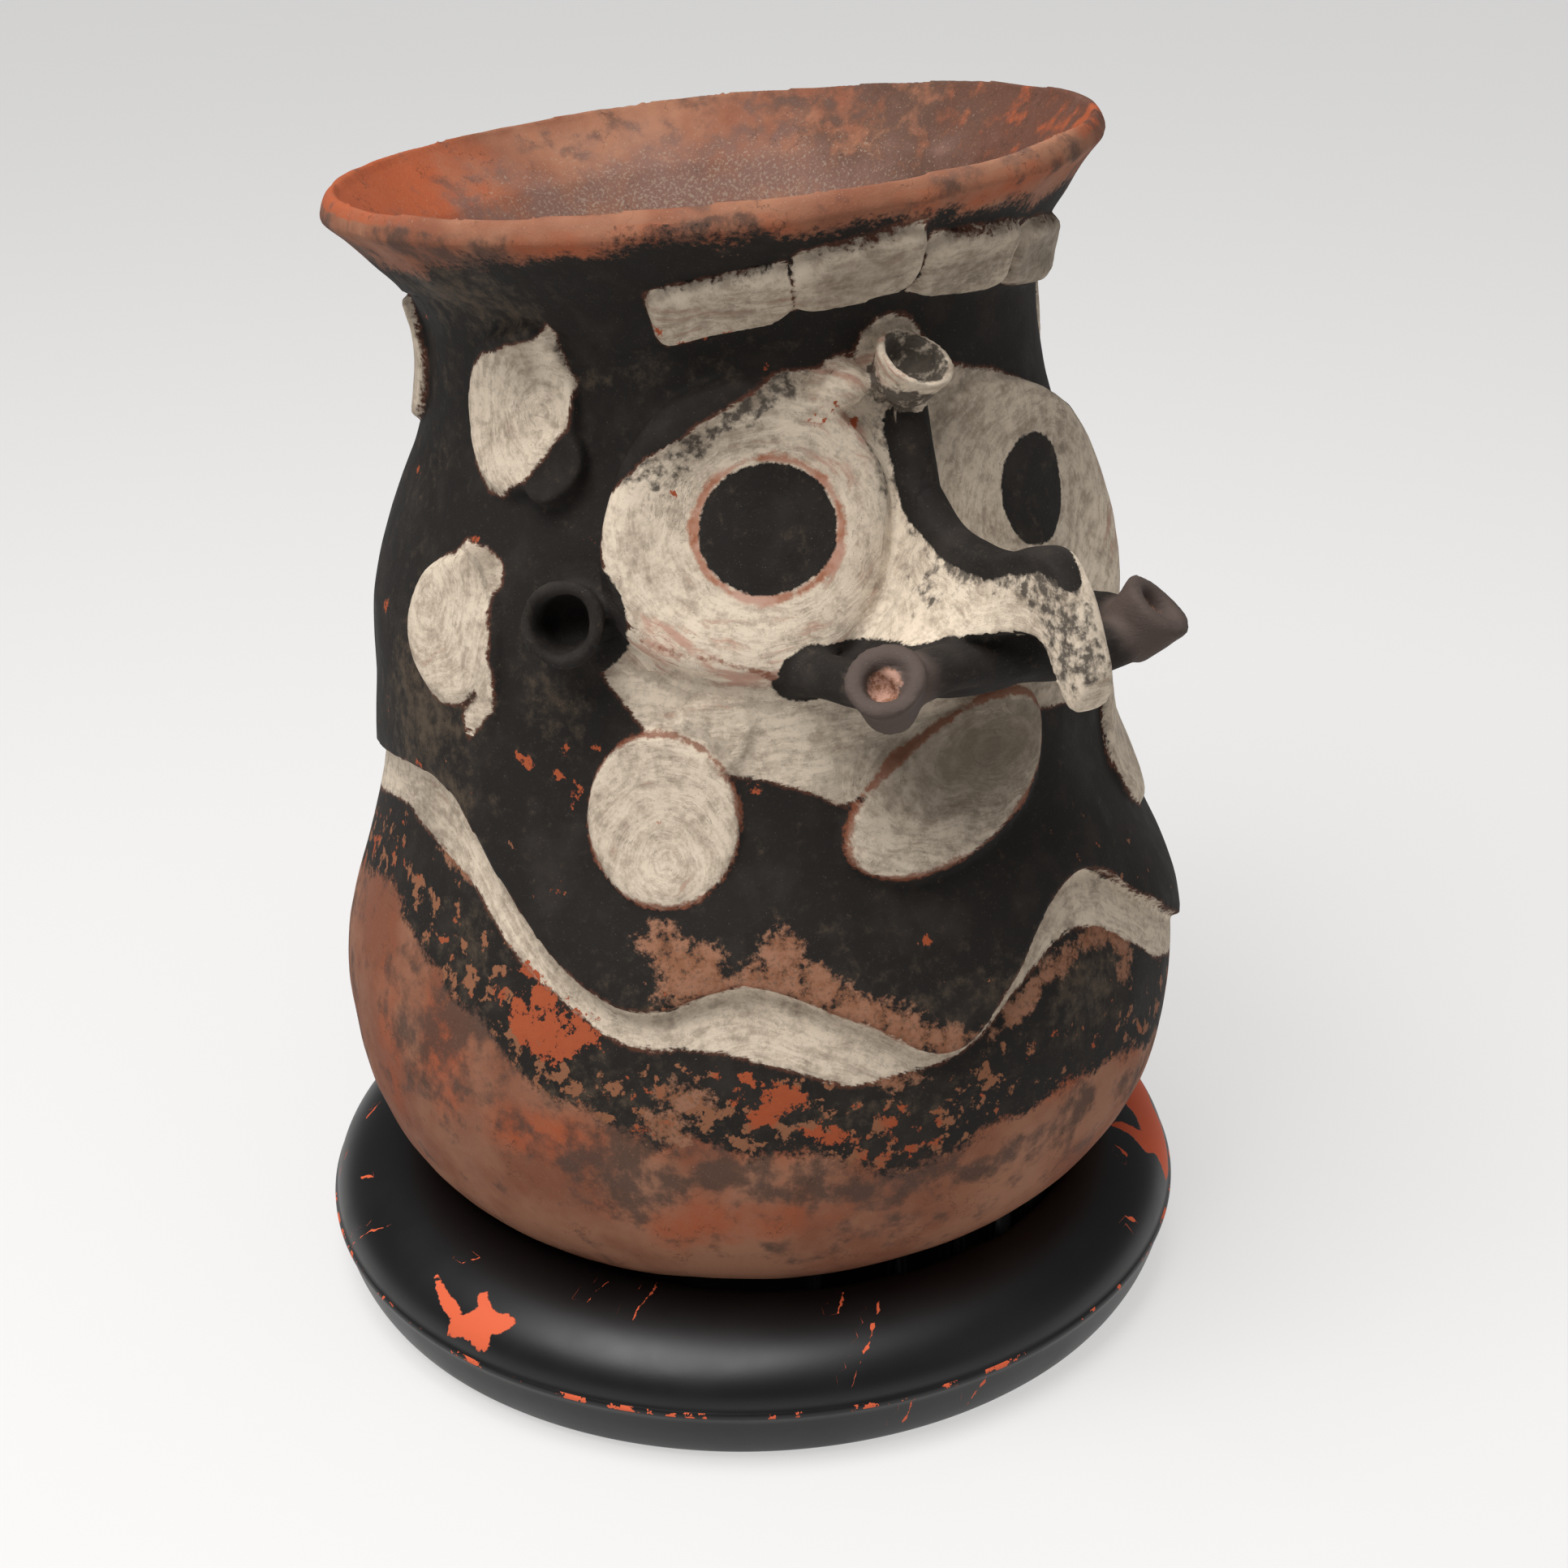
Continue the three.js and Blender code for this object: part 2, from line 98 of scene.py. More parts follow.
def spunShell(rows, columns, place):
    # a line spun into a closed skin, whose points are then moved to their places by row and angle
    bm = bmesh.new()
    line = [bm.verts.new((0 if i in (0, rows - 1) else 1, 0, i)) for i in range(rows)]
    edges = [bm.edges.new(pair) for pair in zip(line, line[1:])]
    bmesh.ops.spin(bm, geom=line + edges, cent=(0, 0, 0), axis=(0, 0, 1), dvec=(0, 0, 0),
                   angle=2 * math.pi, steps=columns, use_merge=True, use_duplicate=False)
    bmesh.ops.remove_doubles(bm, verts=bm.verts, dist=1e-4)
    mesh = bpy.data.meshes.new("shell")
    bm.to_mesh(mesh)
    bm.free()
    co = np.empty(len(mesh.vertices) * 3)
    mesh.vertices.foreach_get("co", co)
    co = co.reshape(-1, 3)
    row = np.rint(co[:, 2]).astype(int)
    turn = np.degrees(np.arctan2(co[:, 1], co[:, 0])) % 360
    mesh.vertices.foreach_set("co", np.ascontiguousarray(place(row, turn), float).ravel())
    bm = bmesh.new()
    bm.from_mesh(mesh)
    bmesh.ops.recalc_face_normals(bm, faces=bm.faces)
    if bm.calc_volume(signed=True) < 0:
        bmesh.ops.reverse_faces(bm, faces=bm.faces)
    bm.to_mesh(mesh)
    bm.free()
    return mesh


def tubeAlong(route, radius, rows, columns):
    # closed tube along a smooth route; radius may change along it
    at = [curveThrough([(i, p[k]) for i, p in enumerate(route)]) for k in range(3)]
    span = len(route) - 1

    def place(row, turn):
        t = np.clip((row - 1) / (rows - 3), 0, 1) * span
        middle = points(at[0](t), at[1](t), at[2](t))
        ahead = points(at[0](t + 0.05), at[1](t + 0.05), at[2](t + 0.05))
        behind = points(at[0](t - 0.05), at[1](t - 0.05), at[2](t - 0.05))
        along = ahead - behind
        along /= np.linalg.norm(along, axis=1, keepdims=True)
        side = np.cross(along, [0, 0, 1.0])
        side /= np.linalg.norm(side, axis=1, keepdims=True)
        up = np.cross(side, along)
        r = radius(t / span) * np.where((row == 0) | (row == rows - 1), 0, 1)
        a = np.radians(turn)
        return middle + side * (r * np.cos(a))[:, None] + up * (r * np.sin(a))[:, None]

    return spunShell(rows, columns, place)


# the jar's own form: heights, radii and wall in millimetres, angles in degrees

jarForm = {
    "height": 521, "belly": 204.6, "neck": 140, "mouth": 182, "wall": 11,
    "mouthTilt": 2.85, "mouthTiltAngle": 40,
    "neckShift": (5, 58, 440, 70), "flankBulge": (6, -122, 335, 45, 38),
    "leanBack": 4.05, "fromRing": (9.2, -5.7), "aboveFloor": 22.4,
    "layerStep": 10, "layerFade": 90,
}
jarHeight, belly, neck = jarForm["height"], jarForm["belly"], jarForm["neck"]
flare = jarForm["mouth"] - neck
wall = jarForm["wall"]

outline = [
    (0, 0), (0.0154, 0.42 * belly), (0.0576, 0.767 * belly), (0.115, 0.909 * belly), (0.182, 0.981 * belly),
    (0.25, belly), (0.317, 0.985 * belly), (0.384, 0.927 * belly), (0.461, 0.862 * belly),
    (0.547, 0.828 * belly), (0.633, 0.808 * belly), (0.72, 0.762 * belly), (0.797, neck + 0.1 * flare),
    (0.864, neck), (0.921, neck + 0.11 * flare), (0.96, neck + 0.47 * flare), (1, jarForm["mouth"]),
]
squaredRadius = curveThrough([(share * jarHeight, r * r) for share, r in outline])


def radiusAt(height):
    return np.sqrt(np.maximum(squaredRadius(height), 0))


def unevenness(angle, height):
    # how far the wall stands outside a true round: a bulge on one flank, and a neck off centre
    out, at, middle, reach, spread = jarForm["flankBulge"]
    bulge = out * bell(height - middle, reach) * bell(turnBetween(angle, at), spread)
    shift, towards, middle, reach = jarForm["neckShift"]
    return bulge + shift * bell(height - middle, reach) * np.cos(np.radians(angle - towards))


def mouthLift(angle, height, radius):
    # the mouth tilts, and the upper part of the wall goes with it
    share = smoothStep(height, 0.66 * jarHeight, jarHeight)
    tilt = math.tan(math.radians(jarForm["mouthTilt"]))
    return tilt * radius * np.cos(np.radians(angle - jarForm["mouthTiltAngle"])) * share


def wallSlope(height):
    slope = (radiusAt(height + 1) - radiusAt(height - 1)) / 2
    return slope, np.hypot(1, slope)


def onJar(angle, height, out=0.0):
    # the point of the wall at an angle and height, moved outwards square to the wall
    slope, length = wallSlope(height)
    radius = radiusAt(height) + unevenness(angle, height) + out / length
    z = height - out * slope / length + mouthLift(angle, height, radius)
    a = np.radians(angle)
    return points(radius * np.sin(a), -radius * np.cos(a), z)


def placeOf(p):
    # the reverse: angle, height and distance out from the wall of points in the jar's frame
    angle = np.degrees(np.arctan2(p[:, 0], -p[:, 1]))
    radius = np.hypot(p[:, 0], p[:, 1])
    height = np.clip(p[:, 2], 2, jarHeight)
    out = np.zeros(len(p))
    for _ in range(6):
        slope, length = wallSlope(height)
        out = (radius - radiusAt(height) - unevenness(angle, height)) * length
        out = np.clip(out, -60, 60)
        lifted = p[:, 2] - mouthLift(angle, height, radius) + out * slope / length
        height = np.clip(0.5 * height + 0.5 * lifted, 2, jarHeight)
    return angle, height, out


ringLow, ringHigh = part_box("support_ring")
ringMiddle = (ringLow + ringHigh) / 2


def inPlace(p):
    # from the jar's frame in millimetres to the object's frame in metres
    a = -math.radians(jarForm["leanBack"])
    y = p[:, 1] * math.cos(a) - p[:, 2] * math.sin(a)
    z = p[:, 1] * math.sin(a) + p[:, 2] * math.cos(a)
    return points(p[:, 0] + jarForm["fromRing"][0] + 1000 * ringMiddle.x,
                  y + jarForm["fromRing"][1] + 1000 * ringMiddle.y,
                  z + jarForm["aboveFloor"]) / 1000


def backInJar(w):
    a = math.radians(jarForm["leanBack"])
    x = 1000 * (w[:, 0] - ringMiddle.x) - jarForm["fromRing"][0]
    y = 1000 * (w[:, 1] - ringMiddle.y) - jarForm["fromRing"][1]
    z = 1000 * w[:, 2] - jarForm["aboveFloor"]
    return points(x, y * math.cos(a) - z * math.sin(a), y * math.sin(a) + z * math.cos(a))


layerWave = [
    (-140, 0.446), (-98, 0.512), (-80, 0.513), (-68, 0.449), (-56, 0.387), (-46, 0.361), (-32, 0.381),
    (-19, 0.346), (-8, 0.309), (2, 0.344), (12, 0.394), (22, 0.401), (33, 0.347), (52, 0.277), (70, 0.307),
    (98, 0.426), (128, 0.366), (156, 0.446), (190, 0.357),
]
layerShare = curveThrough(layerWave, 360)


def layerEdge(angle):
    # height of the wavy lower edge of the upper layer of clay
    return layerShare(angle) * jarHeight


def layerStepAt(angle):
    return jarForm["layerStep"] * (0.5 + 0.5 * np.cos(np.radians(angle + 20)) ** 2)


def potShell():
    # stations from the outer pole over the lip to the inner pole: zone, value
    # the zones are 0 bowl, 1 ledge, 2 upper layer, 3 lip, 4 inside
    stations = [(0, 0.0)]
    stations += [(0, (i / 60) ** 1.6) for i in range(1, 61)]
    stations += [(1, share) for share in (0.45, 0.85)]
    stations += [(2, (i / 90) ** 1.25) for i in range(0, 91)]
    stations += [(3, turn) for turn in range(15, 180, 15)]
    stations += [(4, 1 - (i / 56) ** 0.75) for i in range(0, 56)]
    stations += [(4, 0.0)]
    zones = np.array([s[0] for s in stations])
    values = np.array([s[1] for s in stations], float)
    top = jarHeight - wall / 2

    def place(row, turn):
        zone, value, angle = zones[row], values[row], turn
        edge, step = layerEdge(angle), layerStepAt(angle)
        bowl = onJar(angle, np.maximum(value, 1e-3) * edge)
        ledge = onJar(angle, edge, value * step)
        rise = np.minimum(value * 12, 1) * jarForm["layerStep"] * 0.35
        height = edge + rise + value * (top - edge - rise)
        thin = smoothStep(height - edge, 0.4 * jarForm["layerStep"], jarForm["layerFade"])
        layer = onJar(angle, height, step * (1 - thin) * (0.95 + 0.05 * np.minimum(value * 30, 1)))
        a = np.radians(value)
        lip = onJar(angle, np.full(len(row), top), wall / 2 * (np.cos(a) - 1))
        lip[:, 2] += wall / 2 * np.sin(a)
        inner = onJar(angle, np.maximum(value, 1e-3) * top, -wall)
        p = np.where((zone == 0)[:, None], bowl, ledge)
        p = np.where((zone == 2)[:, None], layer, p)
        p = np.where((zone == 3)[:, None], lip, p)
        p = np.where((zone == 4)[:, None], inner, p)
        p[row == 0] = (0, 0, 0)
        p[row == len(stations) - 1] = (0, 0, wall)
        return p

    return spunShell(len(stations), 300, place)


# pads of clay on the wall

clayPads = {
    "discRise": 6, "browPadRise": 7, "eyePlateRise": 10, "root": 5,
    # angle, height, half width in degrees, half height, turn, prouder sideways, prouder upwards
    "discs": [
        (-69, 438, 13, 36, 0, 0, 0), (-80, 340, 9.5, 32, 0, -0.1, 0), (-43, 270, 11, 38, 0, 0, -0.25),
        (1, 268, 20, 30, 22, -0.15, -0.4), (54, 238, 12, 36, 0, 0.2, 0), (-112, 446, 8, 30, 0, 0, 0),
        (78, 440, 12, 34, 0, 0, 0), (84, 338, 10, 32, 0, 0, 0), (118, 300, 11, 35, 0, 0, 0),
        (150, 430, 12, 34, 0, 0, 0), (180, 300, 12, 36, 0, 0, 0), (-146, 330, 11, 34, 0, 0, 0),
    ],
    # angle, height, half width in degrees, half height, turn
    "browPads": [(-30, 484, 10.5, 12.5, 9), (-9, 492, 10, 12.5, 5), (13, 485, 11, 12.5, -6),
                 (37, 476, 12, 12.5, -10)],
    # angle, height, half width in degrees, half height, turn, prouder sideways
    "eyePlates": [(-28, 389, 22, 61, -14, -0.35), (26, 364, 29.5, 57, -26, 0.7)],
    # thin scraps of clay beside the discs: angle, height, half width in degrees, half height, turn, rise
    "scraps": [(-60, 415, 5, 17, -32, 9), (-64, 459, 5.5, 19, -8, 6), (-75, 336, 6.5, 41, 3, 3.5),
               (-36, 305, 7, 16, 30, 3)],
}
discSection = [(1.02, -1), (1.01, 0.2), (1.0, 0.5), (0.985, 0.78), (0.95, 0.95), (0.88, 1.0), (0.75, 0.97),
               (0.6, 0.9), (0.4, 0.84), (0.2, 0.8)]
browSection = [(1.02, -1), (1.01, 0.2), (1.0, 0.55), (0.975, 0.85), (0.93, 0.98), (0.85, 1.0), (0.6, 0.98),
               (0.3, 0.95)]
plateSection = [(1.02, -1), (1.01, 0.2), (1.0, 0.5), (0.98, 0.78), (0.94, 0.95), (0.88, 1.0), (0.8, 0.98),
                (0.7, 0.84), (0.6, 0.62), (0.5, 0.44), (0.42, 0.34), (0.3, 0.3), (0.15, 0.3)]


def padShell(pad, section, rise, seed):
    # a pad over an ellipse or rounded oblong; its section holds shares of the half width and of the rise
    angle, height, halfAngle, halfHeight, turn, swingSide, swingUp, squareness = pad
    rows = len(section) + 2
    shares = np.array([0] + [s[0] for s in section] + [0.0])
    outs = np.array([-1] + [s[1] for s in section] + [section[-1][1]])
    width = math.radians(halfAngle) * float(radiusAt(height))
    tilt = math.radians(turn)

    def place(row, around):
        a = np.radians(around)
        wobble = 1 + 0.022 * np.sin(2 * a + seed) + 0.016 * np.sin(3 * a + 2.3 * seed)
        wobble = wobble + 0.01 * np.sin(5 * a + 5 * seed)
        rounded = lambda v: np.sign(v) * np.abs(v) ** (2 / squareness)
        across = rounded(np.cos(a)) * shares[row] * wobble
        up = rounded(np.sin(a)) * shares[row] * wobble
        x = across * width * math.cos(tilt) - up * halfHeight * math.sin(tilt)
        y = across * width * math.sin(tilt) + up * halfHeight * math.cos(tilt)
        out = outs[row]
        proud = np.where(out > 0, out * rise * (1 + swingSide * across + swingUp * up),
                         out * clayPads["root"])
        return onJar(angle + np.degrees(x / float(radiusAt(height))), height + y, proud)

    return spunShell(rows, 96, place)


def padShells():
    shells = []
    for i, (*place, side, up) in enumerate(clayPads["discs"]):
        shells.append(padShell((*place, side, up, 2), discSection, clayPads["discRise"], i * 1.7))
    for i, (*place, rise) in enumerate(clayPads["scraps"]):
        shells.append(padShell((*place, 0, 0, 2), discSection, rise, i * 2.6))
    for i, place in enumerate(clayPads["browPads"]):
        shells.append(padShell((*place, 0, 0, 4.5), browSection, clayPads["browPadRise"], i * 2.1 + 0.4))
    for i, (*place, side) in enumerate(clayPads["eyePlates"]):
        shells.append(padShell((*place, side, 0, 2.3), plateSection, clayPads["eyePlateRise"], i * 2.9 + 1.1))
    return shells


# nose, the bar through it, the cups and the ear tubes

noseForm = {
    "length": 124, "start": 0.74 * belly, "ridge": 8, "root": 66, "tip": 11,
    "barRadius": 10.5, "barSpan": 130, "barShift": 8, "barForward": 213, "barSag": 6, "cupHeight": 337,
    "noseCup": (17, 9, 26, 11), "earTube": (18.5, 12.5, 30, 22), "foreheadCup": (17.5, 13.5, 20, 14),
    "underside": (46, 24, 18, 196, 338), "cupTurn": (0.45, -0.5, 0.75), "foreheadCupTurn": (0.16, -0.58, 0.8),
    "earAngle": 55, "earTurn": 14, "earHeight": 355, "foreheadHeight": 450,
    "brokenEar": (62, 376, 6, 19, 9),
}
noseStart, noseLength = noseForm["start"], noseForm["length"]
noseTop = curveThrough([(-0.06, 414), (0.08, 404), (0.2, 391), (0.32, 386), (0.5, 385), (0.67, 392),
                        (0.8, 395), (0.88, 388), (0.95, 371), (1, 354)])
noseBottom = curveThrough([(-0.06, 314), (0.18, 325), (0.31, 339), (0.46, 349), (0.62, 354), (0.76, 357),
                           (0.83, 353), (0.9, 336), (0.96, 332), (1, 340)])
noseHalfWidth = curveThrough([(-0.06, noseForm["root"]), (0.18, 0.9 * noseForm["root"]),
                              (0.31, 0.66 * noseForm["root"]), (0.43, 0.47 * noseForm["root"]),
                              (0.56, 1.9 * noseForm["tip"]), (0.7, 1.15 * noseForm["tip"]),
                              (1, 0.7 * noseForm["tip"])])


def atFace(forward, side, height):
    return points(np.asarray(side, float), -np.asarray(forward, float), np.asarray(height, float))


def noseShell():
    # sections along the nose from the wall to the tip, each rounded on top and below
    rows, columns = 44, 60
    shares = np.concatenate([[-0.06], np.linspace(-0.06, 0.9, 34),
                             0.9 + 0.1 * np.sin(np.linspace(0.15, 1, 8) * math.pi / 2), [1.02]])

    def place(row, around):
        share = shares[row]
        # once round the section: down the right side, then up the left
        level = 1 - np.abs(np.mod(around, 360) - 180) / 180
        side = np.where(np.mod(around, 360) <= 180, 1, -1)
        level = smoothStep(level, 0, 1) * 0.35 + level * 0.65
        flat = np.minimum(noseForm["ridge"], noseHalfWidth(share))
        half = flat + (noseHalfWidth(share) - flat) * level ** 1.8
        roundTop = np.sqrt(np.clip(1 - (1 - np.minimum(level / 0.07, 1)) ** 2, 0, 1))
        roundBottom = np.sqrt(np.clip(1 - (1 - np.minimum((1 - level) / 0.08, 1)) ** 2, 0, 1))
        half = half * roundTop * roundBottom
        top, bottom = noseTop(share), noseBottom(share)
        p = atFace(noseStart + share * noseLength, side * half, top + (bottom - top) * level)
        ends = (row == 0) | (row == rows - 1)
        middle = atFace(noseStart + share * noseLength, 0 * half, (top + bottom) / 2)
        return np.where(ends[:, None], middle, p)

    return spunShell(rows, columns, place)


def ridgeShell():
    # the ridge that runs up the forehead from the nose
    low, high = 388, noseForm["foreheadHeight"] - 12
    heights = np.concatenate([[low], np.linspace(low, high, 16), [high]])

    def place(row, around):
        height = heights[row]
        a = np.radians(around)
        out = 4.2 + 8.8 * np.sin(a)
        widen = 8.5 - 3.5 * np.sin(a)
        p = onJar(1, height, np.where((row == 0) | (row == 17), 2, out))
        p[:, 0] += np.where((row == 0) | (row == 17), 0, widen * np.cos(a))
        return p

    return spunShell(18, 32, place)


def turned(mesh, direction, middle):
    # lays a shape made along +Z in a direction at a place, both in the jar's frame
    turn = Vector((0, 0, 1)).rotation_difference(Vector(direction).normalized())
    mesh.transform(Matrix.Translation(Vector(middle)) @ turn.to_matrix().to_4x4())
    return mesh


def cupShell(size, middle, direction, seed):
    # a short tube end: size is its radius, the bore's radius, its length and the bore's depth
    radius, bore, length, depth = size
    profile = [(0, -length / 2), (0.45 * radius, -length / 2), (0.7 * radius, -length / 2 + 1),
               (0.78 * radius, -0.2 * length), (0.88 * radius, 0.15 * length), (0.97 * radius, 0.36 * length),
               (radius, 0.43 * length), (0.97 * radius, 0.48 * length), ((radius + bore) / 2, 0.5 * length),
               (bore + 1, 0.48 * length), (bore, 0.43 * length), (0.93 * bore, length / 2 - 0.4 * depth),
               (0.8 * bore, length / 2 - 0.8 * depth), (0.45 * bore, length / 2 - depth),
               (0, length / 2 - depth)]
    r = np.array([p[0] for p in profile])
    z = np.array([p[1] for p in profile])

    def place(row, around):
        a = np.radians(around)
        wobble = 1 + 0.03 * np.sin(2 * a + seed) + 0.02 * np.sin(3 * a + 2 * seed)
        return points(r[row] * wobble * np.cos(a), r[row] * wobble * np.sin(a),
                      z[row] + 0.5 * np.sin(2 * a + seed))

    return turned(spunShell(len(profile), 48, place), direction, middle)


def blobShell(middle, reach):
    # a rounded lump with its own reach along each axis
    rows = 14

    def place(row, around):
        v = np.pi * row / (rows - 1)
        a = np.radians(around)
        return points(reach[0] * np.sin(v) * np.cos(a), reach[1] * np.sin(v) * np.sin(a),
                      -reach[2] * np.cos(v))

    return turned(spunShell(rows, 28, place), (0, 0, 1), middle)


def onBar(share, rise):
    # a place on the bar: share of its half span, and of its sag
    return atFace(noseForm["barForward"], noseForm["barShift"] + share * noseForm["barSpan"] / 2,
                  noseForm["cupHeight"] + rise * noseForm["barSag"])


def barRoute():
    return [onBar(*place) for place in ((-1, 0), (-0.67, 0.7), (-0.33, 0.5), (0, -0.3), (0.46, -1),
                                        (0.79, -0.9), (1, 0.2))]


def armRoute(side):
    end = float(onBar(side, 0)[0])
    high = noseForm["cupHeight"]
    return [atFace(noseForm["barForward"] - 2, 0.97 * end, high - 1),
            atFace(noseForm["barForward"] - 25, end, high - 3),
            atFace(noseStart - 22, side * 0.95 * noseForm["barSpan"] / 2, high - 9)]


def ornamentShells():
    sideways, deep, high, forward, level = noseForm["underside"]
    shells = [blobShell(atFace(forward, 0, level), (sideways, deep, high)),
              tubeAlong(barRoute(), lambda t: noseForm["barRadius"] * (1 - 0.1 * np.sin(t * math.pi)),
                        30, 24)]
    for side in (-1, 1):
        shells.append(tubeAlong(armRoute(side), lambda t: noseForm["barRadius"] * 0.95, 16, 24))
        x, y, z = noseForm["cupTurn"]
        shells.append(cupShell(noseForm["noseCup"], onBar(side, 0), (side * x, y, z), side + 2))
    return shells


def tubeEndShells():
    a = math.radians(noseForm["earTurn"])
    angle, height = -noseForm["earAngle"], noseForm["earHeight"]
    wallOut = (onJar(angle, height, 1) - onJar(angle, height, 0)).ravel()
    x, y = (wallOut[0] * math.cos(a) - wallOut[1] * math.sin(a),
            wallOut[0] * math.sin(a) + wallOut[1] * math.cos(a))
    middle = onJar(angle, height, noseForm["earTube"][2] / 2 - clayPads["root"]).ravel()
    shells = [cupShell(noseForm["earTube"], middle, (x, y, wallOut[2]), 0.7)]
    angle, height, halfAngle, halfHeight, rise = noseForm["brokenEar"]
    shells.append(padShell((angle, height, halfAngle, halfHeight, 0, 0, 0, 2),
                           [(1, -1), (1, 0.4), (0.85, 0.75), (0.6, 1)], rise, 3))
    middle = onJar(-1, noseForm["foreheadHeight"] - 5, 12).ravel()
    shells.append(cupShell(noseForm["foreheadCup"], middle, noseForm["foreheadCupTurn"], 1.9))
    shells.append(blobShell(onJar(-10.5, noseForm["foreheadHeight"] - 8, 4).ravel(), (11, 9, 9)))
    return shells


skinMesh = {"voxel": 1.8, "triangles": 190000}
skinMesh.update({"smoothing": 0.5, "smoothRounds": 4})


def joinedShells(name, shells):
    # one skin over all the overlapping shells, smoothed as wetted clay is, and thinned to a budget
    bm = bmesh.new()
    for shell in shells:
        bm.from_mesh(shell)
        bpy.data.meshes.remove(shell)
    mesh = bpy.data.meshes.new(name)
    bm.to_mesh(mesh)
    bm.free()
    piece = bpy.data.objects.new(name, mesh)
    bpy.context.scene.collection.objects.link(piece)
    remesh = piece.modifiers.new("oneSkin", "REMESH")
    remesh.mode = "VOXEL"
    remesh.voxel_size = skinMesh["voxel"]
    remesh.use_smooth_shade = True
    smooth = piece.modifiers.new("wetFinger", "SMOOTH")
    smooth.factor = skinMesh["smoothing"]
    smooth.iterations = skinMesh["smoothRounds"]
    applyModifiers(piece)
    count = 2 * len(piece.data.polygons)
    thin = piece.modifiers.new("thinned", "DECIMATE")
    thin.ratio = min(1, skinMesh["triangles"] / count)
    applyModifiers(piece)
    print("  skin", count, "->", len(piece.data.polygons), "triangles")
    return piece


def applyModifiers(piece):
    graph = bpy.context.evaluated_depsgraph_get()
    made = bpy.data.meshes.new_from_object(piece.evaluated_get(graph))
    old = piece.data
    piece.modifiers.clear()
    piece.data = made
    bpy.data.meshes.remove(old)


def vertexPlaces(mesh):
    co = np.empty(len(mesh.vertices) * 3)
    mesh.vertices.foreach_get("co", co)
    return co.reshape(-1, 3)


def vertexNormals(mesh):
    flat = np.empty(len(mesh.vertices) * 3)
    mesh.vertex_normals.foreach_get("vector", flat)
    return flat.reshape(-1, 3)


def setPlaces(mesh, p):
    mesh.vertices.foreach_set("co", np.ascontiguousarray(p, float).ravel())
    mesh.update()


def addValue(mesh, name, values):
    layer = mesh.attributes.new(name, "FLOAT", "POINT")
    layer.data.foreach_set("value", np.ascontiguousarray(values, np.float32))


def addVector(mesh, name, values):
    layer = mesh.attributes.new(name, "FLOAT_VECTOR", "POINT")
    layer.data.foreach_set("vector", np.ascontiguousarray(values, np.float32).ravel())


def lumps(p, size, seed):
    # soft hand-made unevenness, -1..1
    offset = Vector((seed * 17.3, seed * 5.1, seed * 9.7))
    return np.array([noise.noise(Vector(v) / size + offset) for v in p])


print("stage: jar's skin")
shells = [potShell()] + padShells() + [noseShell(), ridgeShell()] + ornamentShells() + tubeEndShells()
jarPiece = joinedShells("paintedJar", shells)
skin = jarPiece.data
p = vertexPlaces(skin)
normals = vertexNormals(skin)
angle, height, out = placeOf(p)

# where the paints lie: outlines as (angle, height) corners, lines as (angle, height) knots

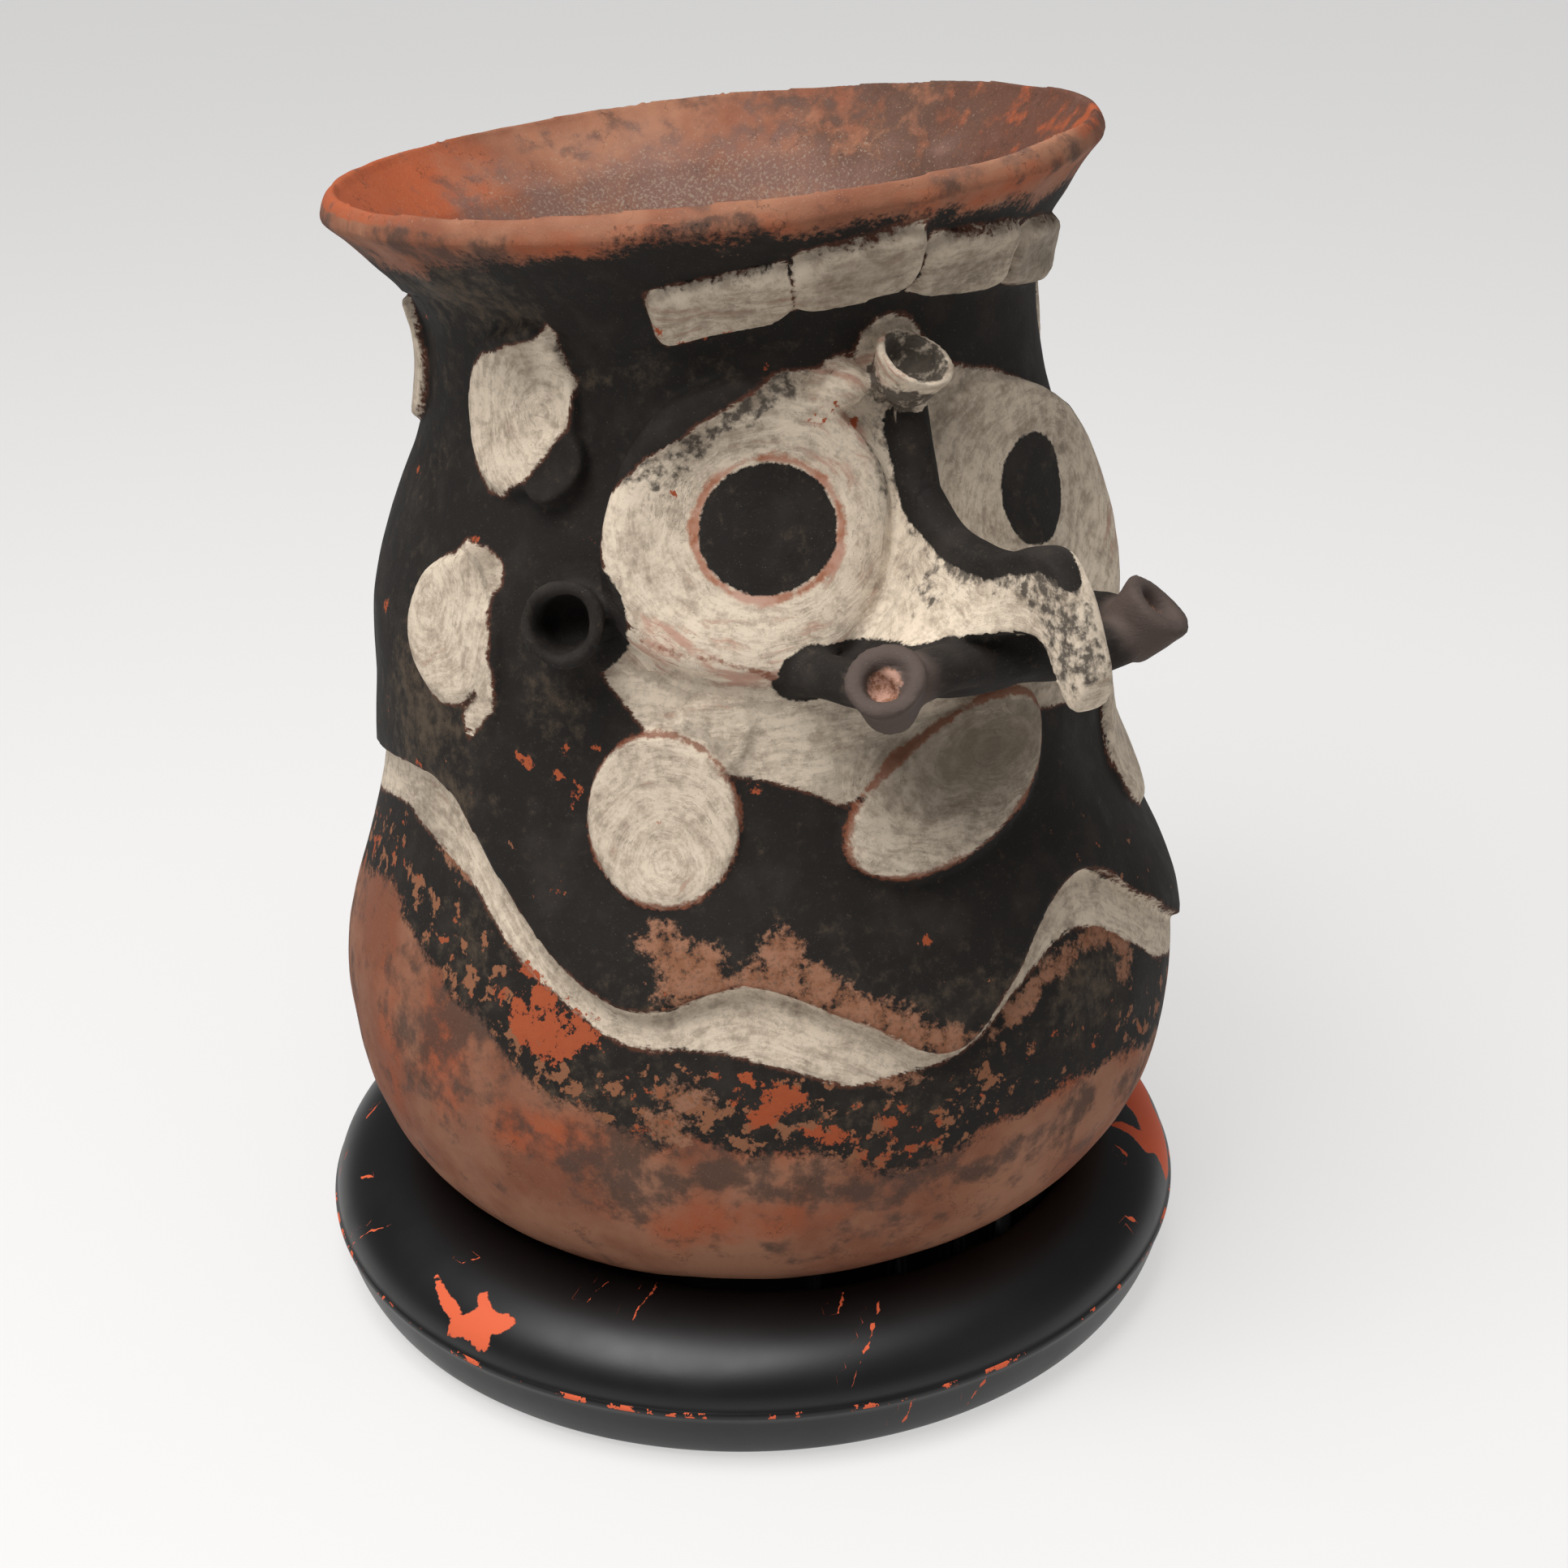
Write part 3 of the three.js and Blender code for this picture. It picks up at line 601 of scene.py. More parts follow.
facePaint = {
    "leftPlate": [(-10, 449), (-21, 451), (-33, 436), (-43, 420), (-50, 403), (-50, 383), (-48, 365),
                  (-44, 348), (-35, 339), (-25, 329), (-21, 318), (0, 318), (0, 449)],
    "rightPlate": [(0, 445), (11, 441), (24, 431), (40, 413), (54, 384), (56, 370), (57, 349), (56, 341),
                   (55, 319), (20, 306), (0, 318)],
    "chin": [(-21, 328), (-32, 344), (-45, 354), (-53, 342), (-50, 327), (-45, 309), (-38, 300), (-33, 288),
             (-26, 284), (-21, 277), (-17, 270), (0, 285), (11, 293), (19, 287), (32, 279), (40, 300),
             (55, 325), (20, 332)],
    "chinLine": [(-44, 348), (-38, 342), (-34, 340), (-31, 337), (-29, 335), (-27, 333), (-25, 328)],
    "upperDisc": [(-76, 461), (-70, 467), (-63, 471), (-60, 477), (-59, 472), (-58, 461), (-56, 452),
                  (-57, 443), (-58, 431), (-61, 421), (-65, 409), (-72, 400), (-76, 403), (-81, 413),
                  (-83, 424), (-82, 440), (-79, 455)],
    "curl": [(-81, 372), (-79, 379), (-74, 378), (-70, 373), (-70, 365), (-71, 356), (-72, 340), (-70, 328),
             (-70, 310), (-75, 295), (-76, 305), (-73, 315), (-72, 338), (-72, 356), (-75, 367)],
    "eyes": [(-25, 390, 10.7, 26, 8), (26.3, 379.5, 9, 23, 0)],
    "armPatch": [(-25, 333), (-24, 338), (-20, 340), (-15, 342), (-10, 341), (-5, 339), (-7, 322), (-11, 317),
                 (-16, 319), (-20, 323), (-23, 327)],
    "grimyRim": [(-49, 408), (-42, 428), (-33, 441), (-21, 454), (-11, 451), (-20, 441), (-30, 428),
                 (-40, 408)],
    "bandLow": [(-98, 246), (-91, 244), (-81, 236), (-73, 225), (-67, 209), (-61, 196), (-56, 187),
                (-51, 178), (-46, 174), (-40, 173), (-35, 172), (-30, 166), (-25, 159), (-20, 153),
                (-15, 154), (-9, 155), (-3, 161), (2, 172), (8, 182), (14, 188), (20, 186), (28, 167),
                (37, 145), (52, 128), (70, 140), (98, 200), (128, 170), (156, 208), (190, 165), (220, 210)],
    "sootLow": [(-96, 208), (-86, 196), (-78, 183), (-68, 170), (-62, 152), (-54, 142), (-45, 131),
                (-39, 130), (-33, 123), (-26, 123), (-20, 111), (-12, 105), (-4, 114), (3, 117), (14, 119),
                (29, 110), (45, 100), (70, 108), (98, 150), (128, 128), (156, 160), (190, 122), (220, 165)],
    "sootTop": [(-130, 498), (-82, 501), (-69, 507), (-55, 510), (-41, 514), (-20, 511), (10, 506), (44, 500),
                (90, 500), (180, 498)],
    "collar": [(-180, 470), (-120, 478), (-75, 486), (-62, 478), (-54, 469), (-47, 464), (-39, 469),
               (-25, 475), (0, 476), (20, 467), (40, 460), (60, 468), (110, 478), (150, 466)],
}

# black paint rubbed off down to old brown clay, and fresh orange chips
wornAreas = [
    [(-47, 224), (-42, 224), (-40, 217), (-37, 216), (-35, 211), (-34, 202), (-35, 197), (-42, 191),
     (-44, 197), (-43, 205)],
    [(-33, 199), (-32, 207), (-31, 209), (-30, 206), (-30, 217), (-29, 219), (-27, 220), (-25, 216),
     (-25, 209), (-22, 204), (-18, 190), (-8, 169), (-3, 166), (-9, 159), (-15, 160), (-21, 175), (-26, 188)],
    [(-19, 154), (-17, 156), (-11, 154), (-11, 150), (-15, 147)],
    [(-1, 159), (2, 169), (6, 175), (13, 182), (18, 184), (20, 189), (26, 175), (28, 161), (25, 152),
     (23, 154), (25, 165), (21, 176), (16, 178), (13, 174), (8, 168), (4, 160)],
    [(-44, 155), (-42, 159), (-40, 157), (-37, 150), (-37, 145), (-40, 144), (-43, 148)],
    [(-47, 140), (-45, 143), (-42, 142), (-40, 135), (-41, 130), (-44, 133)],
    [(-84, 236), (-80, 241), (-76, 238), (-74, 230), (-76, 228), (-80, 231)],
    [(70, 226), (82, 240), (96, 236), (104, 222), (92, 214), (80, 216)],
    [(140, 240), (150, 252), (164, 246), (170, 228), (158, 222), (146, 226)],
    [(-140, 250), (-130, 262), (-118, 256), (-116, 240), (-128, 234)],
]
freshAreas = [
    [(-67, 216), (-64, 214), (-63, 207), (-59, 205), (-58, 199), (-55, 192), (-52, 188), (-51, 181),
     (-51, 174), (-55, 167), (-58, 160), (-60, 164), (-63, 167), (-65, 181), (-65, 186), (-63, 187),
     (-61, 184), (-60, 190), (-63, 195), (-65, 201)],
    [(-32, 138), (-34, 142), (-32, 149), (-31, 155), (-29, 159), (-28, 155), (-28, 148), (-29, 142)],
    [(-27, 134), (-26, 136), (-24, 135), (-23, 135), (-22, 131), (-20, 128), (-20, 124), (-24, 126)],
    [(-30, 150), (-28, 156), (-26, 150), (-27, 142)],
    [(96, 152), (104, 164), (116, 158), (112, 146)],
    [(-166, 150), (-158, 168), (-148, 160), (-152, 144)],
]
# small chips: angle, height, radius
chips = [
    (-87, 273, 4.5), (-66, 291, 2.2), (-64, 289, 2.8), (-58, 297, 2.6), (-59, 286, 2.2), (-70, 279, 2.4),
    (-56, 281, 3), (-56, 273, 2.5), (-30, 282, 2.4), (-53, 300, 3), (-96, 237, 2), (-102, 397, 3),
    (-102, 336, 4), (-98, 310, 3), (-77, 381, 3), (-54, 387, 1.6), (-39, 406, 2), (-23, 454, 1.8),
    (-9, 427, 1.5), (-16, 430, 3), (-13, 434, 3), (-19, 427, 2), (54, 376, 5), (56, 352, 4), (55, 342, 4),
    (53, 333, 3), (-43, 268, 3.5), (-45, 243, 2.5), (-40, 242, 2.5), (-8, 208, 2.2), (-10, 202, 1.4),
    (-40, 477, 2), (-36, 470, 2.6), (-33, 470, 2.2), (-29, 473, 1.8), (-33, 160, 3), (-35, 151, 2.4),
    (-20, 142, 2), (-14, 138, 2.6), (-8, 141, 2), (4, 143, 2.4), (-3, 134, 2), (-24, 146, 1.8), (9, 150, 2.6),
    (20, 142, 2), (-48, 158, 2.4), (-51, 150, 3), (70, 320, 3), (88, 270, 3.5), (104, 300, 2.5),
    (120, 356, 3), (140, 392, 3), (160, 344, 3.5), (175, 262, 3), (-170, 380, 3), (-156, 300, 2.5),
    (-130, 300, 3.5), (-120, 370, 2.5), (-136, 420, 3), (100, 420, 3), (130, 470, 4), (-100, 470, 3.5),
    (-160, 470, 4), (172, 452, 3),
]
# soft clouds on the surface: angle, height, reach sideways and upwards in mm, strength
clouds = {
    "dusty": [(-86, 300, 26, 30, 0.9), (-80, 262, 20, 14, 0.7), (-60, 318, 16, 20, 0.5),
              (-74, 205, 18, 26, 0.5), (-95, 430, 14, 60, 0.3), (-30, 196, 50, 16, 0.5),
              (0, 178, 40, 14, 0.5), (17, 160, 26, 18, 0.8), (-52, 152, 30, 14, 0.5), (-18, 140, 40, 10, 0.5),
              (-40, 455, 30, 8, 0.4), (100, 300, 40, 50, 0.5), (160, 270, 60, 60, 0.5),
              (-140, 350, 50, 60, 0.5), (180, 420, 60, 40, 0.4), (-78, 490, 30, 14, 0.9),
              (-66, 482, 12, 12, 0.8)],
    # these greyer clouds are partly dirt and partly painted shade: on the disc under the beak, over the right
    # plate and on the brow pads under the flaring lip
    "dirtAndShade": [(6, 280, 46, 20, 0.95), (10, 268, 30, 18, 0.6), (22, 300, 44, 20, 0.5), (36, 400, 52, 60, 0.4),
              (14, 430, 24, 30, 0.5), (-30, 484, 44, 16, 0.45), (-9, 492, 30, 16, 0.6),
              (13, 485, 32, 16, 0.6), (37, 476, 34, 20, 0.75), (-38, 436, 22, 14, 0.7),
              (-30, 446, 26, 8, 0.8), (-66, 462, 14, 16, 0.55), (-74, 372, 12, 12, 0.6),
              (-88, 244, 24, 12, 0.55), (-84, 225, 12, 22, 0.4), (-60, 200, 20, 18, 0.2),
              (-50, 345, 8, 20, 0.5), (150, 430, 60, 50, 0.4), (180, 300, 60, 50, 0.45),
              (110, 300, 50, 50, 0.4)],
    "pink": [(-17, 384, 14, 30, 0.6), (-12, 420, 14, 20, 0.5), (-10, 448, 14, 10, 0.7),
             (-40, 344, 26, 9, 0.8), (-28, 332, 24, 8, 0.8), (-20, 365, 16, 12, 0.5), (-42, 270, 26, 28, 0.1),
             (-56, 330, 14, 16, 0.6), (50, 350, 14, 30, 0.6), (-48, 470, 10, 10, 0.6),
             (-30, 484, 40, 12, 0.3), (-24, 270, 16, 14, 0.3)],
    "smudge": [(-50, 115, 20, 16, 0.9), (-44, 112, 16, 12, 0.7), (-36, 117, 18, 10, 0.8),
               (-26, 101, 24, 8, 0.9), (-74, 168, 20, 26, 0.9), (-55, 112, 14, 14, 0.6),
               (-15, 103, 30, 12, 0.7), (-83, 150, 14, 30, 0.6), (-60, 132, 14, 18, 0.5),
               (-4, 94, 24, 8, 0.6), (12, 100, 26, 10, 0.6), (30, 92, 24, 12, 0.5), (-10, 72, 60, 8, 0.4),
               (70, 80, 40, 20, 0.7), (110, 110, 40, 24, 0.7), (150, 120, 50, 24, 0.8),
               (-170, 100, 50, 26, 0.7), (-120, 140, 40, 30, 0.7), (-70, 512, 30, 8, 0.7),
               (-30, 516, 34, 6, 0.5), (40, 514, 30, 8, 0.4), (-100, 508, 20, 8, 0.6)],
    "ember": [(-76, 150, 14, 26, 0.7), (-60, 126, 26, 12, 0.7), (-30, 132, 40, 10, 0.6),
              (-38, 88, 60, 18, 0.5), (8, 126, 40, 8, 0.7), (30, 118, 30, 10, 0.5), (-90, 140, 16, 40, 0.4),
              (90, 100, 60, 30, 0.5), (160, 80, 80, 30, 0.5), (-130, 100, 60, 30, 0.5),
              (-40, 512, 60, 5, 0.6), (10, 512, 60, 6, 0.5)],
}


# paint edges are signed distances in millimetres for every vertex, positive inside the paint

def padFrame(spec):
    # places across and up a pad, and its half width and half height
    a0, h0, halfAngle, halfHeight, turn = spec
    r = float(radiusAt(h0))
    u, v = np.radians(turnBetween(angle, a0)) * r, height - h0
    t = math.radians(turn)
    x, y = u * math.cos(t) + v * math.sin(t), -u * math.sin(t) + v * math.cos(t)
    return x, y, math.radians(halfAngle) * r, halfHeight


def ellipseEdge(spec):
    x, y, a, b = padFrame(spec)
    k = np.hypot(x / a, y / b) + 1e-6
    steep = np.hypot(x / a ** 2, y / b ** 2) / k
    return (1 - k) / np.maximum(steep, 1e-3)


def manySided(x, y, corners, r):
    # signed distance to an area with the given corners, positive inside
    inside = np.zeros(len(x), bool)
    nearest = np.full(len(x), 1e9)
    c = [(math.radians(a) * r, h) for a, h in corners]
    for (x0, y0), (x1, y1) in zip(c, c[1:] + c[:1]):
        dx, dy = x1 - x0, y1 - y0
        t = np.clip(((x - x0) * dx + (y - y0) * dy) / (dx * dx + dy * dy), 0, 1)
        nearest = np.minimum(nearest, np.hypot(x - x0 - t * dx, y - y0 - t * dy))
        crosses = (y0 > y) != (y1 > y)
        with np.errstate(divide="ignore", invalid="ignore"):
            inside ^= crosses & (x < x0 + (y - y0) * dx / (dy if dy else 1e-9))
    return np.where(inside, nearest, -nearest)


def areaEdge(corners, r=175.0):
    return manySided(np.radians(turnBetween(angle, 0)) * r, height, corners, r)


def lineEdge(route, radius):
    # how far inside a thick line in space each point is
    best = np.full(len(p), -1e9)
    route = [np.asarray(q, float).ravel() for q in route]
    for i, (a, b) in enumerate(zip(route, route[1:])):
        t = np.clip(((p - a) @ (b - a)) / ((b - a) @ (b - a)), 0, 1)
        d = np.linalg.norm(p - a - t[:, None] * (b - a), axis=1)
        ends = radius if np.isscalar(radius) else radius[i] + t * (radius[i + 1] - radius[i])
        best = np.maximum(best, ends - d)
    return best


# low down, where the wall runs under the jar, inside and outside are told apart by height alone
lowHeights = np.linspace(0, 0.25 * jarHeight, 300)
underside = np.interp(np.hypot(p[:, 0], p[:, 1]), radiusAt(lowHeights), lowHeights)
outside = np.where(p[:, 2] < 0.25 * jarHeight, p[:, 2] < underside + 0.5 * wall, out > -0.5 * wall)
edgeHere = layerEdge(angle)
forward, sideways, upward = -p[:, 1], p[:, 0], p[:, 2]
onNose = (out > 13) & (np.abs(sideways) < 90) & (upward > 300) & (upward < 470)


def largest(parts):
    return np.max(parts, axis=0)


def ballEdge(middle, radius):
    return radius - np.linalg.norm(p - np.asarray(middle, float).ravel(), axis=1)


# the discs' white follows their clay, except on the first, which has its own outline,
# and on the one under the beak
whiteDiscs = [disc[:5] for disc in clayPads["discs"][1:]]
whiteDiscs[2] = (0.8, 269, 19.2, 28.5, 22)
discEdge = largest([ellipseEdge(disc) for disc in whiteDiscs]
                   + [areaEdge(facePaint[name]) for name in ("upperDisc", "curl")])
browEdge = np.full(len(p), -1e9)
for pad in clayPads["browPads"]:
    x, y, a, b = padFrame(pad)
    browEdge = np.maximum(browEdge, np.minimum(a - np.abs(x), b - np.abs(y)))
plateEdge = np.maximum(areaEdge(facePaint["leftPlate"]), areaEdge(facePaint["rightPlate"]))
chinEdge = areaEdge(facePaint["chin"])
bandEdge = np.minimum(edgeHere - height, height - curveThrough(facePaint["bandLow"], 360)(angle)) * 0.85
noseEdge = np.where(onNose, 8.0, -1e3)
foreheadCup = onJar(-1, noseForm["foreheadHeight"] - 1, 13)
cupEdge = largest([ballEdge(foreheadCup, 22), ballEdge(onJar(-10.5, noseForm["foreheadHeight"] - 8, 5), 13)])
white = largest([discEdge, browEdge, plateEdge, chinEdge, bandEdge, noseEdge, cupEdge])

# black laid over the white: eyes, ridge of the nose, ornament, ear tubes, shade under the beak
eyeEdge = np.maximum(ellipseEdge(facePaint["eyes"][0]), ellipseEdge(facePaint["eyes"][1]))
eyeEdge = np.where(onNose | ~outside, -30, eyeEdge)
ridgeLine = [onJar(0, 440, 9), onJar(-0.5, 422, 9), onJar(-0.5, 404, 12)] + [
    atFace(noseStart + s * noseLength, -2, float(noseTop(s)) - 3) for s in (0.12, 0.3, 0.5, 0.68, 0.8, 0.88)]
ridgeEdge = lineEdge(ridgeLine, [9, 12, 12.5, 12, 11, 10.5, 9.5, 8, 6])
barEdge = largest([lineEdge(route, noseForm["barRadius"] + 2.5)
                   for route in (barRoute(), armRoute(-1), armRoute(1))])
cupTurn = np.array(noseForm["cupTurn"]) / np.linalg.norm(noseForm["cupTurn"])
cupHoles = []
for side in (-1, 1):
    middle = onBar(side, 0).ravel()
    barEdge = np.maximum(barEdge, ballEdge(middle, 25))
    cupHoles.append(middle + cupTurn * (side, 1, 1) * 5)
aboveBar = upward > 356 + 0.1 * np.abs(sideways)
barEdge = np.where(aboveBar, np.minimum(barEdge, -3 + 8 * (np.abs(sideways) > 40)), barEdge)
# painted shade: black laid on the downward faces under the beak
underBeak = onNose & (normals[:, 2] < -0.2) & (forward < noseStart + 0.84 * noseLength) & (upward < 362)
underBeakShade = np.where(underBeak, 4.0, -20.0)
earEdge = ballEdge(onJar(-noseForm["earAngle"], noseForm["earHeight"], 10), 27)
brokenEdge = np.maximum(ballEdge(onJar(62, 376, 8), 22), ballEdge(onJar(54, 388, 15), 13))
# the bar's black together with the painted shade under the beak
ornament = np.maximum(barEdge, underBeakShade)
armPatch = np.where(outside, areaEdge(facePaint["armPatch"]) + 1, -20)
black = largest([eyeEdge, ridgeEdge, ornament, earEdge, brokenEdge, armPatch])
black = np.where(cupEdge > 1, -8, black)
holeEdge = largest([ballEdge(hole, 7.5) for hole in cupHoles])

# soot-black ground over the clay, bare below its lower edge and at the lip
sootLow = height - curveThrough(facePaint["sootLow"], 360)(angle)
sootEdge = np.minimum(sootLow, curveThrough(facePaint["sootTop"])(angle) - height) * 0.9
sootEdge = np.where(outside, sootEdge, -20)
white = np.where(outside, white, -20)

wornEdge = np.minimum(largest([areaEdge(corners, float(radiusAt(200))) for corners in wornAreas]), 3.5)
freshEdge = largest([areaEdge(corners, float(radiusAt(180))) for corners in freshAreas])
freshEdge = np.minimum(np.minimum(freshEdge, 1.6), 0.5 - bandEdge)
for a0, h0, radius in chips:
    radius = 0.72 * radius - 0.1
    halfAngle = math.degrees(radius / float(radiusAt(h0)))
    freshEdge = np.maximum(freshEdge, ellipseEdge((a0, h0, halfAngle, radius * 0.9, 0)))
wornEdge, freshEdge = (np.where(outside & ~onNose, edge, -20) for edge in (wornEdge, freshEdge))
# scattered rubbing: most below the band, towards the lower edge of the black
scatter = 0.17 * smoothStep(bandEdge, -60, -8) + 0.3 * bell(sootLow - 8, 26) * (height < edgeHere)
scatter = np.where(outside, scatter, 0)


def cloudOf(name):
    amount = np.zeros(len(p))
    for a0, h0, reachSide, reachUp, strength in clouds[name]:
        u = np.radians(turnBetween(angle, a0)) * float(radiusAt(h0))
        amount = np.maximum(amount, strength * np.exp(-0.5 * ((u / reachSide) ** 2
                                                              + ((height - h0) / reachUp) ** 2)))
    return np.where(outside, amount, 0)


inner = ~outside
emberInside = 0.95 * np.maximum(bell(turnBetween(angle, -122), 42), bell(turnBetween(angle, 66), 34))
ember = np.where(inner, emberInside, cloudOf("ember"))
ashInside = (bell(turnBetween(angle, 158), 62) * smoothStep(height, 330, 400)
             * (1 - smoothStep(height, 480, 512)))
ash = np.where(inner, ashInside, 0)
cupMiddles = [onBar(side, 0).ravel() + cupTurn * (side, 1, 1) * 4 for side in (-1, 1)]
ash = np.maximum(ash, np.where(outside, smoothStep(largest([ballEdge(q, 24) for q in cupMiddles]), 0, 7), 0))
# the bore of the forehead cup
fromCup = p - onJar(-1, noseForm["foreheadHeight"] - 5, 12).ravel()
axis = np.array(noseForm["foreheadCupTurn"])
alongAxis = fromCup @ axis
fromAxis = np.linalg.norm(fromCup - alongAxis[:, None] * axis, axis=1)
boreEdge = np.where((alongAxis > -8) & (alongAxis < 16), 15.7 - fromAxis, -10)
# where black is rubbed over the white: beside the ridge, on the beak, on the nose's left flank and along
# the upper left edge of the left plate; inside the forehead cup's bore the same grey is painted shade
beakLine = [atFace(noseStart + s * noseLength, -3, h) for s, h in ((0.66, 384), (0.84, 376), (0.95, 352))]
smearAndBoreShade = largest([0.6 * smoothStep(lineEdge([q + np.array([-9, 0, 0.0]) for q in ridgeLine], 18), 0, 12),
                 0.56 * smoothStep(lineEdge(beakLine, 17), 0, 10),
                 0.72 * smoothStep(boreEdge, 0, 1.5),
                 0.5 * smoothStep(ballEdge(atFace(noseStart + 0.3 * noseLength, -26, 372), 26), 0, 20),
                 0.5 * smoothStep(areaEdge(facePaint["grimyRim"]), -5, 4)])
smearAndBoreShade = np.where(outside, smearAndBoreShade, 0)
# brown lines: round two discs, and between the left plate and the chin
seam = np.abs(ellipseEdge(whiteDiscs[2])) - smoothStep(height, 262, 280)
seam = np.minimum(np.abs(ellipseEdge(whiteDiscs[1])), seam)
chinRadius = 170
for (a0, h0), (a1, h1) in zip(facePaint["chinLine"], facePaint["chinLine"][1:]):
    x, y = np.radians(turnBetween(angle, a0)) * chinRadius, height - h0
    dx, dy = math.radians(a1 - a0) * chinRadius, h1 - h0
    t = np.clip((x * dx + y * dy) / (dx * dx + dy * dy), 0, 1)
    seam = np.minimum(seam, np.hypot(x - t * dx, y - t * dy))
seam = np.where(onNose | inner, 30, seam)

# which way a finger or a brush went: across the stroke, and two lengths along it, all in mm
across, along1, along2 = height.copy(), p[:, 0].copy(), p[:, 1].copy()
across = np.where(bandEdge > -6, edgeHere - height, across)
pulls = [(*disc[:4], (0.5 * math.cos(2.4 * i), 0.5 * math.sin(2.4 * i)), 1.12)
         for i, disc in enumerate(clayPads["discs"])]
pulls += [(-25, 390, 13, 30, (0, 0), 2.4), (28, 372, 13, 28, (0, 0), 2.4)]
for a0, h0, halfAngle, halfHeight, (offSide, offUp), spread in pulls:
    half = math.radians(halfAngle) * float(radiusAt(h0))
    u, v = np.radians(turnBetween(angle, a0)) * float(radiusAt(h0)), height - h0
    near = (np.hypot(u / half, v / halfHeight) < spread) & outside & (~onNose)
    k = np.hypot(u / half - offSide, v / halfHeight - offUp)
    across = np.where(near, k * halfHeight, across)
    along1 = np.where(near, u, along1)
    along2 = np.where(near, v, along2)
across = np.where(onNose, upward - noseTop((forward - noseStart) / noseLength) + 0.2 * forward, across)
along1 = np.where(onNose, forward, along1)
along2 = np.where(onNose, sideways, along2)

print("stage: hand-made unevenness")
# heights in millimetres, and the width and length of one brush stroke
handWork = {"broad": 0.9, "medium": 0.4, "lip": 1.3, "ornament": 1.1, "brow": 0.5, "collar": 2.2,
            "stroke": 0.13, "strokeWidth": 2.6, "strokeLength": 22}
lift = handWork["broad"] * lumps(p, 46, 1) + handWork["medium"] * lumps(p, 17, 2)
lift += handWork["lip"] * lumps(p, 60, 4) * smoothStep(height, 470, 515)
lift += handWork["ornament"] * lumps(p, 13, 5) * smoothStep(largest([barEdge, earEdge, brokenEdge]), -4, 2)
lift += handWork["brow"] * lumps(p, 9, 6) * smoothStep(browEdge, -4, 1)
collar = height - curveThrough(facePaint["collar"], 360)(angle)
lift += np.where(outside,
                 handWork["collar"] * smoothStep(collar, -1.2, 1.2) * (1 - smoothStep(height, 492, 512)), 0)
strokes = points(across / handWork["strokeWidth"], along1 / handWork["strokeLength"],
                 along2 / handWork["strokeLength"])
lift += handWork["stroke"] * lumps(strokes, 1.0, 3) * smoothStep(white, -2, 3)
setPlaces(skin, inPlace(p + normals * lift[:, None]))
for name, values, limit in (("whiteEdge", white, 40), ("blackEdge", black, 40), ("sootEdge", sootEdge, 60),
                            ("wornEdge", wornEdge, 40), ("freshEdge", freshEdge, 40),
                            ("holeEdge", holeEdge, 30), ("seam", seam, 30)):
    addValue(skin, name, np.clip(values, -limit, limit))
for name in ("dusty", "dirtAndShade", "pink"):
    addValue(skin, name, cloudOf(name))
addValue(skin, "rimmedEye", np.clip(np.where(onNose, -30, ellipseEdge(facePaint["eyes"][0])), -30, 30))
addValue(skin, "smudge",
         np.maximum(cloudOf("smudge"), np.where(inner, 0.9 * bell(turnBetween(angle, 90), 50), 0)))
for name, values in (("ember", ember), ("ash", ash), ("smearAndBoreShade", smearAndBoreShade), ("scatter", scatter),
                     ("inside", np.where(outside, 0.0, 1.0))):
    addValue(skin, name, values)
addVector(skin, "stroke", points(across, along1, along2))
skin.shade_smooth()
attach(jarPiece, "root")
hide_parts("jar")


# the ring under the jar

ringForm = {"radius": 216, "half": 47, "inner": 0.55, "height": 60, "seam": 32, "seamDepth": 1.5,
            "baseInset": 11, "baseWidth": 40, "seat": 0.3, "seatRounds": 14, "seatStep": 12,
            "peelRadius": 195}


def ringProfile():
    f = ringForm
    middle, reach, crown = f["radius"] - f["half"], f["half"] - f["seamDepth"], f["height"] - f["seam"]
    lower = curveThrough([(0, f["radius"] - f["baseInset"] - 6), (1.2, f["radius"] - f["baseInset"] - 1),
                          (0.22 * f["seam"], f["radius"] - 0.68 * f["baseInset"]),
                          (0.5 * f["seam"], f["radius"] - 0.36 * f["baseInset"]),
                          (0.84 * f["seam"], middle + reach)])
    profile = [(middle - f["baseWidth"] / 2, 0), (middle + 5, 0)]
    profile += [(float(lower(z)), z) for z in np.linspace(0, 0.84 * f["seam"], 16)]
    profile += [(middle + reach + 0.9, 0.87 * f["seam"]), (f["radius"], 0.91 * f["seam"]),
                (f["radius"], 0.97 * f["seam"]), (middle + reach + 0.7, f["seam"])]
    for turn in np.linspace(2, 180, 54):
        fullness = 1 if turn < 90 else f["inner"]
        rise = abs(math.sin(math.radians(turn))) ** fullness
        profile.append((middle + reach * math.cos(math.radians(turn)), f["seam"] + crown * rise))
    profile += [(middle - 0.92 * f["half"], 0.75 * f["seam"]), (middle - 0.8 * f["half"], 0.35 * f["seam"]),
                (middle - 0.6 * f["half"], 0.1 * f["seam"])]
    return profile


